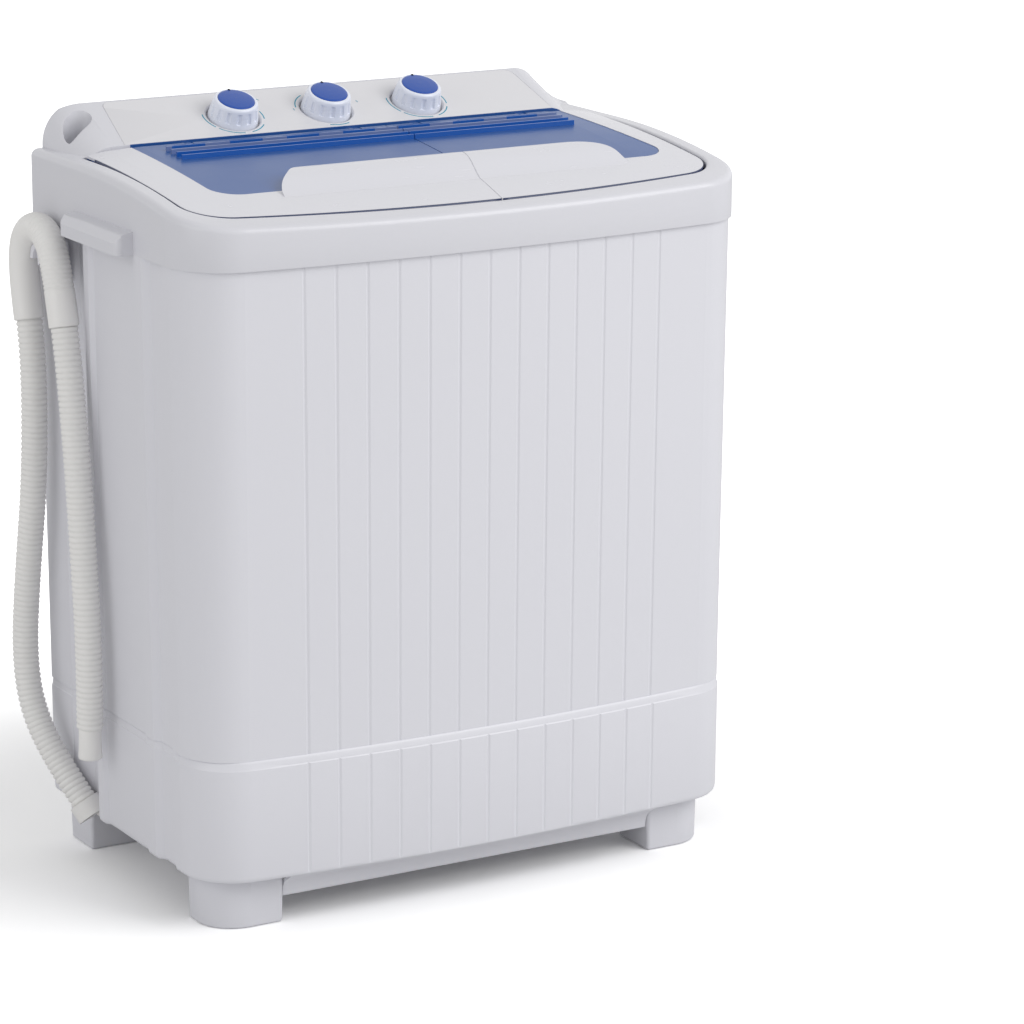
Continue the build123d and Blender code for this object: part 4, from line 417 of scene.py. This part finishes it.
def route_points(name, points):
    """Smooth NURBS line through a route, read as points."""
    curve = bpy.data.curves.new(name, "CURVE")
    curve.dimensions = "3D"
    spline = curve.splines.new("NURBS")
    spline.points.add(len(points) - 1)
    for point, place in zip(spline.points, points):
        point.co = (*[v * MM for v in place], 1)
    spline.order_u = 3
    spline.use_endpoint_u = True
    spline.resolution_u = 24
    holder = bpy.data.objects.new(name, curve)
    line = bpy.data.meshes.new_from_object(holder)
    places = [v.co.copy() for v in line.vertices]
    bpy.data.objects.remove(holder)
    bpy.data.curves.remove(curve)
    bpy.data.meshes.remove(line)
    return places


class Walk:
    """Places and directions along a line of points, by distance."""

    def __init__(self, places):
        self.places = places
        self.marks = [0.0]
        for a, b in zip(places, places[1:]):
            self.marks.append(self.marks[-1] + (b - a).length)
        self.length = self.marks[-1]

    def at(self, distance):
        """Matrix at a distance: Z along the line, Y towards the outside of an upright bend."""
        distance = min(max(distance, 0.0), self.length)
        low = min(bisect_right(self.marks, distance), len(self.marks) - 1) - 1
        high = low + 1
        span = self.marks[high] - self.marks[low]
        share = (distance - self.marks[low]) / span if span else 0.0
        place = self.places[low].lerp(self.places[high], share)
        before = self.places[max(low - 1, 0)]
        after = self.places[min(high + 1, len(self.places) - 1)]
        along = ((self.places[low] - before).lerp(after - self.places[high], share)
                 + (self.places[high] - self.places[low])).normalized()
        outward = along.cross(Vector((1, 0, 0))).normalized()
        side = outward.cross(along)
        turn = Matrix((side, outward, along)).transposed().to_4x4()
        return Matrix.Translation(place) @ turn

    def where(self, height, falling):
        """Distance at which the line passes a height, going up or coming down."""
        for mark, a, b in zip(self.marks, self.places, self.places[1:]):
            if (falling and a.z >= height > b.z) or (not falling and a.z <= height < b.z):
                return mark + (b - a).length * (height - a.z) / (b.z - a.z)
        raise RuntimeError(f"the hose never passes {height}")


def sweep_rings(work, walk, rings, segments):
    """Tube through (distance, radius) rings along a walk, by extruding its end ring."""
    def ring_matrix(distance, radius):
        return walk.at(distance) @ Matrix.Diagonal((radius, radius, 1, 1))

    first = bmesh.ops.create_circle(work, segments=segments, radius=1.0,
                                    matrix=ring_matrix(*rings[0]))["verts"]
    edges = list({e for v in first for e in v.link_edges})
    for index in range(1, len(rings)):
        verts, edges = extrude(work, edges)
        change = ring_matrix(*rings[index]) @ ring_matrix(*rings[index - 1]).inverted()
        bmesh.ops.transform(work, matrix=change, verts=verts)


class WASHER_OT_drain_hose(bpy.types.Operator):
    """Corrugated drain hose with its bend guide and end cuff"""
    bl_idname = "washer.drain_hose"
    bl_label = "Drain hose"

    def execute(self, context):
        sizes = context.scene.washer_hose
        walk = Walk(route_points("drain_hose_route", HOSE_ROUTE))
        count = int(walk.length / sizes.pitch)
        pitch = walk.length / count
        rings = [((index + share) * pitch, sizes.radius - deep * sizes.groove)
                 for index in range(count) for share, deep in RIDGE_SHAPE]
        rings.append((walk.length, sizes.radius - sizes.groove))
        work = bmesh.new()
        sweep_rings(work, walk, rings, HOSE_SEGMENTS)
        bmesh.ops.holes_fill(work, edges=[e for e in work.edges if e.is_boundary], sides=0)
        bmesh.ops.recalc_face_normals(work, faces=work.faces)
        hose = new_piece("ribbed_hose", work, "hose", "machine")
        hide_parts("drain_hose")

        guide = self.bend_guide(walk, sizes)
        cuff = self.end_cuff(walk)
        return {"FINISHED"}

    def bend_guide(self, walk, sizes):
        """Moulded U-shaped sleeve: smooth on the rear leg, finely ribbed over the bend."""
        start = walk.where(GUIDE_START, falling=False)
        crest = max(range(len(walk.places)), key=lambda i: walk.places[i].z)
        ribs_start = walk.marks[crest] - GUIDE_RIBS_LEAD
        ribs_end = walk.where(GUIDE_RIBS_END, falling=True)
        end = walk.where(GUIDE_END, falling=True)
        radius = sizes.radius + GUIDE_PROUD
        # rounded lip
        rings = [(start, radius - 0.0011), (start + 0.0007, radius - 0.0002),
                 (start + 0.0016, radius)]
        # smooth leg
        rings += [(start + 0.0016 + (ribs_start - start - 0.0016) * i / GUIDE_SMOOTH_RINGS, radius)
                  for i in range(1, GUIDE_SMOOTH_RINGS)]
        # fine ribs
        count = round((ribs_end - ribs_start) / GUIDE_RIB_PITCH)
        pitch = (ribs_end - ribs_start) / count
        rings += [(ribs_start + (index + share) * pitch, radius - deep)
                  for index in range(count) for share, deep in GUIDE_RIB_SHAPE]
        # smooth tail and its rounded lip
        rings += [(ribs_end + 0.0006 + (end - ribs_end - 0.0022) * i / GUIDE_TAIL_RINGS, radius)
                  for i in range(GUIDE_TAIL_RINGS + 1)]
        rings += [(end - 0.0007, radius - 0.0002), (end, radius - 0.0011)]
        work = bmesh.new()
        sweep_rings(work, walk, rings, GUIDE_SEGMENTS)
        bmesh.ops.recalc_face_normals(work, faces=work.faces)
        guide = new_piece("bend_guide", work, "guide", "machine")
        wall = guide.modifiers.new("wall", "SOLIDIFY")
        wall.thickness = GUIDE_WALL
        wall.offset = -1.0
        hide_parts("hose_guide")
        return guide

    def end_cuff(self, walk):
        """Smooth cuff on the hose's end, slightly flared at its mouth."""
        low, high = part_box("hose_cuff")
        tip = walk.at(walk.length)
        reach = high.z - low.z - 0.001
        # distance past the hose's end and radius: over the outside, round the mouth, inside
        outline = ((-0.004, 0.0098), (0.0, 0.0100), (0.0015, 0.0106), (reach * 0.55, 0.0107),
                   (reach * 0.8, 0.0110), (reach - 0.0022, 0.0113), (reach - 0.0004, 0.0111),
                   (reach, 0.0104), (reach - 0.0006, 0.0092), (reach - 0.018, 0.0088))
        work = bmesh.new()
        ring = bmesh.ops.create_circle(work, segments=CUFF_SEGMENTS, radius=1.0)["verts"]
        edges = list({e for v in ring for e in v.link_edges})
        for index, (height, radius) in enumerate(outline):
            if index:
                ring, edges = extrude(work, edges)
            for vert in ring:
                flat = Vector((vert.co.x, vert.co.y)).normalized() * radius
                vert.co = (*flat, height)
        bmesh.ops.holes_fill(work, edges=[e for e in work.edges if e.is_boundary], sides=0)
        bmesh.ops.recalc_face_normals(work, faces=work.faces)
        bmesh.ops.transform(work, matrix=tip, verts=work.verts)
        cuff = new_piece("hose_end_cuff", work, "hose", "machine")
        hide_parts("hose_cuff")
        return cuff


# ---------------------------------------------------------------- finishes on the frame's nodes
OWN_FINISH = {"top_frame": "frame", "control_fascia": "panel", "wash_timer_knob": "knob",
              "mode_knob": "knob", "spin_timer_knob": "knob"}
# width of the softened edges, in millimetres
SOFT_EDGES = {"base_skirt": 0.6, "top_frame": 0.8, "feet": 1.2, "control_fascia": 0.4,
              "wash_timer_knob": 0.6, "mode_knob": 0.6, "spin_timer_knob": 0.6,
              "wash_timer_cap": 0.4, "mode_cap": 0.4, "spin_timer_cap": 0.4, "hose_hook": 0.6}


class WASHER_OT_finish_frame(bpy.types.Operator):
    """Procedural finishes and softened edges on the nodes that come from the frame"""
    bl_idname = "washer.finish_frame"
    bl_label = "Finish the frame"

    def execute(self, context):
        slots = {s["node"]: s["material_slot"] for s in frame["record"]["subparts"]}
        for name, node in frame["nodes"].items():
            finish = FINISHES[OWN_FINISH.get(name, SLOT_FINISH[slots[name]])]
            if not node.material_slots:
                node.data.materials.append(finish)
            for holder in node.material_slots:
                holder.material = finish
        for name, width in SOFT_EDGES.items():
            self.soften(frame["nodes"][name], width * MM)
        return {"FINISHED"}

    def soften(self, node, width):
        """Joins the loose triangles and rounds the sharp edges slightly."""
        join = node.modifiers.new("join", "WELD")
        join.merge_threshold = 0.00002
        soften = node.modifiers.new("soften", "BEVEL")
        soften.width = width
        soften.segments = 2
        soften.limit_method = "ANGLE"
        soften.angle_limit = math.radians(38)
        soften.use_clamp_overlap = True


# ---------------------------------------------------------------- edge of the tinted panes, painted darker as the shade in the gap round the lids
# outline of the closed lids from above, in millimetres
LID_HALF, LID_FRONT, LID_REAR = 268.5, -154.0, 80.0
LID_BOW, LID_CORNER = 1600.0, 42.0
LID_SEAM = 24.0                # joint between the lids at the front edge
ABOVE_LIDS = 800.0
# strips, in millimetres: below the lid's top, height, thickness, and how far towards the lid's
# middle its top is read
EDGE_DROP, EDGE_DEPTH, EDGE_SKIN, EDGE_INSET = 0.5, 5.0, 0.3, 1.2
EDGE_GROW = 0.35               # the edge stands this far outside the lid's outline
SEAM_DROP, SEAM_DEPTH, SEAM_SKIN, SEAM_INSET = 0.3, 2.5, 0.8, 1.8
SEAM_LINE = [(24.4, -151), (32.2, -102), (40, -53)]
SEAM_TAIL = 0.5                # the lip ends this far behind the line's last point
STRAIGHT_STEPS, CORNER_STEPS, FRONT_STEPS = 24, 18, 32


class WASHER_OT_pane_edges(bpy.types.Operator):
    """Dark edge of each tinted pane under its white frame, darker than the pane as painted shade of the gap round
    each lid, and the lip in the lids' joint
    """
    bl_idname = "washer.pane_edges"
    bl_label = "Pane edges"

    def execute(self, context):
        for lid, side in (("wash_lid", -1), ("spin_lid", 1)):
            work = self.strip(context, lid, self.outline(side, EDGE_GROW),
                              self.outline(side, -EDGE_INSET), EDGE_DROP, EDGE_DEPTH)
            self.look_outwards(work)
            # the pane's edge, painted dark as the shade in the gap round the lid
            edge = new_piece(f"{lid}_pane_edge_and_gap_shade", work, "edge", lid)
            self.thicken(edge, EDGE_SKIN, -1.0)
        seam = self.seam()
        work = self.strip(context, "wash_lid", seam, [(x - SEAM_INSET, y) for x, y in seam],
                          SEAM_DROP, SEAM_DEPTH)
        lip = new_piece("lid_joint_lip", work, "trim", "wash_lid")
        self.thicken(lip, SEAM_SKIN, 0.0)
        return {"FINISHED"}

    def strip(self, context, lid, line, probes, drop, depth):
        """Upright strip under a lid's top surface, whose height is read at the probes."""
        tree = BVHTree.FromObject(frame["nodes"][f"{lid}_frame"],
                                  context.evaluated_depsgraph_get())
        down = Vector((0, 0, -1))
        work = bmesh.new()
        top = []
        for place, probe in zip(line, probes):
            hit = tree.ray_cast(Vector((*probe, ABOVE_LIDS)) * MM, down)[0]
            if hit is None:
                raise RuntimeError(f"no {lid} at {probe}")
            top.append(work.verts.new((place[0] * MM, place[1] * MM, hit.z - drop * MM)))
        edges = [work.edges.new(ends) for ends in zip(top, top[1:])]
        foot, _ = extrude(work, edges)
        bmesh.ops.translate(work, vec=down * depth * MM, verts=foot)
        bmesh.ops.recalc_face_normals(work, faces=work.faces)
        return work

    def look_outwards(self, work):
        """Turns a strip round a lid's outer end so that it faces away from the washer."""
        work.faces.ensure_lookup_table()
        first = work.faces[0]
        if first.normal.x * first.calc_center_median().x < 0:
            bmesh.ops.reverse_faces(work, faces=work.faces)

    def thicken(self, piece, thickness, offset):
        """Gives a strip its thickness, in millimetres."""
        skin = piece.modifiers.new("skin", "SOLIDIFY")
        skin.thickness = thickness * MM
        skin.offset = offset

    def seam(self):
        """Closely spaced points along the joint between the lids."""
        points = []
        for (x0, y0), (x1, y1) in zip(SEAM_LINE, SEAM_LINE[1:]):
            points += [(x0 + (x1 - x0) * i / STRAIGHT_STEPS, y0 + (y1 - y0) * i / STRAIGHT_STEPS)
                       for i in range(STRAIGHT_STEPS)]
        return points + [(SEAM_LINE[-1][0], SEAM_LINE[-1][1] + SEAM_TAIL)]

    def outline(self, side, grow):
        """Points from the rear of one end round its corner to the seam, side -1 for the left."""
        half, corner = LID_HALF + grow, LID_CORNER + grow
        middle = LID_FRONT - grow + LID_BOW
        turn_x = half - corner
        turn_y = middle - math.sqrt((LID_BOW - corner) ** 2 - turn_x ** 2)
        points = [(half, LID_REAR + (turn_y - LID_REAR) * i / STRAIGHT_STEPS)
                  for i in range(STRAIGHT_STEPS)]
        sweep = math.atan2(middle - turn_y, -turn_x) - math.pi / 2
        for i in range(CORNER_STEPS + 1):
            angle = (math.pi / 2 - sweep) * i / CORNER_STEPS
            points.append((turn_x + corner * math.cos(angle), turn_y - corner * math.sin(angle)))
        last = side * LID_SEAM + 1.0
        start = points[-1][0]
        for i in range(1, FRONT_STEPS + 1):
            x = start + (last - start) * i / FRONT_STEPS
            points.append((x, middle - math.sqrt(LID_BOW ** 2 - x ** 2)))
        return [(side * x, y) for x, y in points]


# ---------------------------------------------------------------- dial marks and pointers
# arcs round each dial, by joint: start and end in degrees from the right, counter-clockwise
DIALS = {
    "wash_timer_turn": ("wash_timer_dial", ((166, 212), (219, 268), (283, 322), (-17, 9))),
    "mode_turn": ("mode_dial", ((119, 168), (252, 292))),
    "spin_timer_turn": ("spin_timer_dial", ((162, 213), (219, 276), (290, 331), (-17, 12))),
}
# short plain dashes, by joint: radius in millimetres and angle of each
DASHES = {"wash_timer_turn": ((45, 34),), "mode_turn": ((33, 175), (38, 12)),
          "spin_timer_turn": ()}
DASH_REACH = 96.0              # half of a dash, in degrees at a radius of 1 mm
DASH_WIDTH = 0.7               # of the arcs' width
ARC_STEP = 3.0                 # degrees
# the ink's lift and thickness, in metres
INK_LIFT, INK_SKIN = 0.00012, 0.0001
# in millimetres
CAP_RADIUS, KNOB_HEIGHT = 17.8, 18.0
POINTER_INSET, POINTER_LIFT = 1.2, 0.9
POINTER_SIZE = (0.0024, 0.0030, 0.0016)    # metres


class WASHER_OT_dial_marks(bpy.types.Operator):
    """Printed arcs and dashes round the dials, and the pointers on their caps"""
    bl_idname = "washer.dial_marks"
    bl_label = "Dial marks"

    def execute(self, context):
        sizes = context.scene.washer_dials
        for joint in frame["joints"]:
            if joint["name"] not in DIALS:
                continue
            body, arcs = DIALS[joint["name"]]
            stand = self.stand(joint)
            work = bmesh.new()
            for start, end in arcs:
                self.arc(work, sizes.radius, sizes.width, start, end)
            for radius, angle in DASHES[joint["name"]]:
                reach = DASH_REACH / radius
                self.arc(work, radius * MM, sizes.width * DASH_WIDTH, angle - reach, angle + reach)
            bmesh.ops.translate(work, vec=(0, 0, INK_LIFT), verts=work.verts)
            bmesh.ops.transform(work, matrix=stand, verts=work.verts)
            bmesh.ops.recalc_face_normals(work, faces=work.faces)
            if work.faces[0].normal.z < 0:
                bmesh.ops.reverse_faces(work, faces=work.faces)
            marks = new_piece(f"{body}_marks", work, "marks", "machine")
            ink = marks.modifiers.new("ink", "SOLIDIFY")
            ink.thickness = INK_SKIN
            ink.offset = -1.0
            self.pointer(body, stand)
        return {"FINISHED"}

    def stand(self, joint):
        """Matrix on the panel at a dial: X to the right, Z out along its axis."""
        out = -Vector(joint["axis"]).normalized()
        right = Vector((1, 0, 0))
        turn = Matrix((right, out.cross(right), out)).transposed().to_4x4()
        return Matrix.Translation(Vector(joint["pos_m"])) @ turn

    def arc(self, work, radius, width, start, end):
        """Flat strip along part of a circle, by spinning a short edge."""
        first = Vector((math.cos(math.radians(start)), math.sin(math.radians(start)), 0))
        inner = work.verts.new(first * (radius - width / 2))
        outer = work.verts.new(first * (radius + width / 2))
        edge = work.edges.new((inner, outer))
        bmesh.ops.spin(work, geom=[inner, outer, edge], cent=(0, 0, 0), axis=(0, 0, 1),
                       angle=math.radians(end - start),
                       steps=max(int((end - start) / ARC_STEP), 4),
                       use_duplicate=False, use_merge=False)

    def pointer(self, body, stand):
        """Small dark wedge on the rim of a cap."""
        work = bmesh.new()
        bmesh.ops.create_cube(work, size=1.0)
        bmesh.ops.scale(work, vec=POINTER_SIZE, verts=work.verts)
        top = [v for v in work.verts if v.co.z > 0]
        bmesh.ops.scale(work, vec=(0.6, 0.8, 1), verts=top)
        bmesh.ops.bevel(work, geom=work.edges[:], offset=0.0003, offset_type="OFFSET", segments=2,
                        profile=0.5, affect="EDGES", material=-1)
        place = Matrix.Translation((0, (CAP_RADIUS - POINTER_INSET) * MM,
                                    (KNOB_HEIGHT + POINTER_LIFT) * MM))
        bmesh.ops.transform(work, matrix=stand @ place, verts=work.verts)
        bmesh.ops.recalc_face_normals(work, faces=work.faces)
        new_piece(f"{body}_pointer", work, "dark", body)


# ---------------------------------------------------------------- stage
# in metres
FLOOR_HALF = 14.0
LIGHT_TARGET = (0, 0, 0.35)
KEY_PLACE, KEY_SIZE = (1.9, -2.6, 2.6), 2.6
SIDE_PLACE, SIDE_SIZE = (-3.2, -0.6, 1.3), 2.2
CAMERA_TARGET = (0.0485, 0.0, 0.324)
SENSOR_MM, SHIFT_X = 36.0, 0.0688
# the floor's tone as the camera sees it, near the washer and further away than FLOOR_FAR
FLOOR_NEAR, FLOOR_FAR = 0.40, 0.95
FLOOR_NEAR_TONE, FLOOR_FAR_TONE = 1.25, 2.4
FLOOR_COLOUR = (0.80, 0.80, 0.80, 1)


class WASHER_OT_studio(bpy.types.Operator):
    """Pale floor, soft light and camera"""
    bl_idname = "washer.studio"
    bl_label = "Studio"

    def execute(self, context):
        settings = context.scene.washer_studio
        scene = context.scene
        scene.view_settings.view_transform = "Standard"
        self.floor()
        self.world(settings.ambient)
        self.area("key_light", KEY_PLACE, KEY_SIZE, settings.key)
        self.area("side_light", SIDE_PLACE, SIDE_SIZE, settings.fill)
        self.camera(settings)
        return {"FINISHED"}

    def floor(self):
        """White floor that keeps the shadow and runs out of sight."""
        work = bmesh.new()
        bmesh.ops.create_grid(work, x_segments=1, y_segments=1, size=FLOOR_HALF)
        mesh = bpy.data.meshes.new("studio_floor")
        work.to_mesh(mesh)
        work.free()
        floor = bpy.data.objects.new("studio_floor", mesh)
        bpy.context.scene.collection.objects.link(floor)
        material = bpy.data.materials.new("floor_paper")
        material.use_nodes = True
        tree = material.node_tree
        surface = tree.nodes["Principled BSDF"]
        surface.inputs["Roughness"].default_value = 0.9
        surface.inputs["Specular IOR Level"].default_value = 0.0
        rays = tree.nodes.new("ShaderNodeLightPath")
        tone = tree.nodes.new("ShaderNodeMix")
        tone.data_type = "RGBA"
        tone.inputs["A"].default_value = FLOOR_COLOUR
        tree.links.new(rays.outputs["Is Camera Ray"], tone.inputs["Factor"])
        # brighter away from the washer, so that the paper runs out into white
        place = tree.nodes.new("ShaderNodeTexCoord")
        away = tree.nodes.new("ShaderNodeVectorMath")
        away.operation = "LENGTH"
        tree.links.new(place.outputs["Object"], away.inputs[0])
        level = tree.nodes.new("ShaderNodeMapRange")
        level.interpolation_type = "SMOOTHSTEP"
        for socket, value in (("From Min", FLOOR_NEAR), ("From Max", FLOOR_FAR),
                              ("To Min", FLOOR_NEAR_TONE), ("To Max", FLOOR_FAR_TONE)):
            level.inputs[socket].default_value = value
        tree.links.new(away.outputs["Value"], level.inputs["Value"])
        tree.links.new(level.outputs["Result"], tone.inputs["B"])
        tree.links.new(tone.outputs["Result"], surface.inputs["Base Color"])
        floor.data.materials.append(material)

    def world(self, ambient):
        """Even light from all round, white where the camera or a reflection sees it."""
        world = bpy.data.worlds.new("studio_world")
        bpy.context.scene.world = world
        world.use_nodes = True
        tree = world.node_tree
        background = tree.nodes["Background"]
        rays = tree.nodes.new("ShaderNodeLightPath")
        seen = rays.outputs["Is Camera Ray"]
        for ray in ("Is Glossy Ray", "Is Transmission Ray"):
            either = tree.nodes.new("ShaderNodeMath")
            either.operation = "MAXIMUM"
            tree.links.new(seen, either.inputs[0])
            tree.links.new(rays.outputs[ray], either.inputs[1])
            seen = either.outputs[0]
        level = tree.nodes.new("ShaderNodeMix")
        level.data_type = "FLOAT"
        level.inputs["A"].default_value = ambient
        level.inputs["B"].default_value = 1.0
        tree.links.new(seen, level.inputs["Factor"])
        background.inputs["Color"].default_value = (1, 1, 1, 1)
        tree.links.new(level.outputs["Result"], background.inputs["Strength"])

    def area(self, name, place, size, power):
        """Square soft light that looks at the washer."""
        light = bpy.data.lights.new(name, "AREA")
        light.size = size
        light.energy = power
        holder = bpy.data.objects.new(name, light)
        bpy.context.scene.collection.objects.link(holder)
        holder.location = place
        aim = Vector(LIGHT_TARGET) - Vector(place)
        holder.rotation_euler = aim.to_track_quat("-Z", "Y").to_euler()

    def camera(self, settings):
        """Long lens from the front left, a little above."""
        eye = bpy.data.cameras.new("studio_camera")
        eye.lens = settings.focal
        eye.sensor_width = SENSOR_MM
        eye.shift_x = SHIFT_X
        holder = bpy.data.objects.new("studio_camera", eye)
        bpy.context.scene.collection.objects.link(holder)
        back = Vector((math.sin(settings.azimuth) * math.cos(settings.elevation),
                       -math.cos(settings.azimuth) * math.cos(settings.elevation),
                       math.sin(settings.elevation)))
        holder.location = Vector(CAMERA_TARGET) + back * settings.distance
        holder.rotation_euler = (-back).to_track_quat("-Z", "Y").to_euler()
        bpy.context.scene.camera = holder


# ---------------------------------------------------------------- panel and registration
OPERATORS = (WASHER_OT_finish_frame, WASHER_OT_pane_edges, WASHER_OT_dial_marks,
             WASHER_OT_drain_hose, WASHER_OT_studio)
SETTINGS = (("washer_finishes", WasherFinishes), ("washer_hose", HoseSizes),
            ("washer_dials", DialSizes), ("washer_studio", StudioSettings))


class WASHER_PT_panel(bpy.types.Panel):
    """Lists the settings and the steps"""
    bl_idname = "WASHER_PT_panel"
    bl_label = "Twin Tub Washer"
    bl_space_type = "VIEW_3D"
    bl_region_type = "UI"
    bl_category = "Twin Tub"

    def draw(self, context):
        for attribute, group in SETTINGS:
            box = self.layout.box()
            for name in group.__annotations__:
                box.prop(getattr(context.scene, attribute), name)
        for operator in OPERATORS:
            self.layout.operator(operator.bl_idname)


def register():
    """Registers the settings, the operators and the panel."""
    for attribute, group in SETTINGS:
        bpy.utils.register_class(group)
        setattr(bpy.types.Scene, attribute, bpy.props.PointerProperty(type=group))
    for operator in OPERATORS:
        bpy.utils.register_class(operator)
    bpy.utils.register_class(WASHER_PT_panel)


def unregister():
    """Takes them out again."""
    bpy.utils.unregister_class(WASHER_PT_panel)
    for operator in reversed(OPERATORS):
        bpy.utils.unregister_class(operator)
    for attribute, group in reversed(SETTINGS):
        delattr(bpy.types.Scene, attribute)
        bpy.utils.unregister_class(group)


def main():
    """Dresses the frame step by step."""
    register()
    make_finishes()
    bpy.ops.washer.finish_frame()
    bpy.ops.washer.pane_edges()
    bpy.ops.washer.dial_marks()
    bpy.ops.washer.drain_hose()
    bpy.ops.washer.studio()


if __name__ == "__main__":
    main()
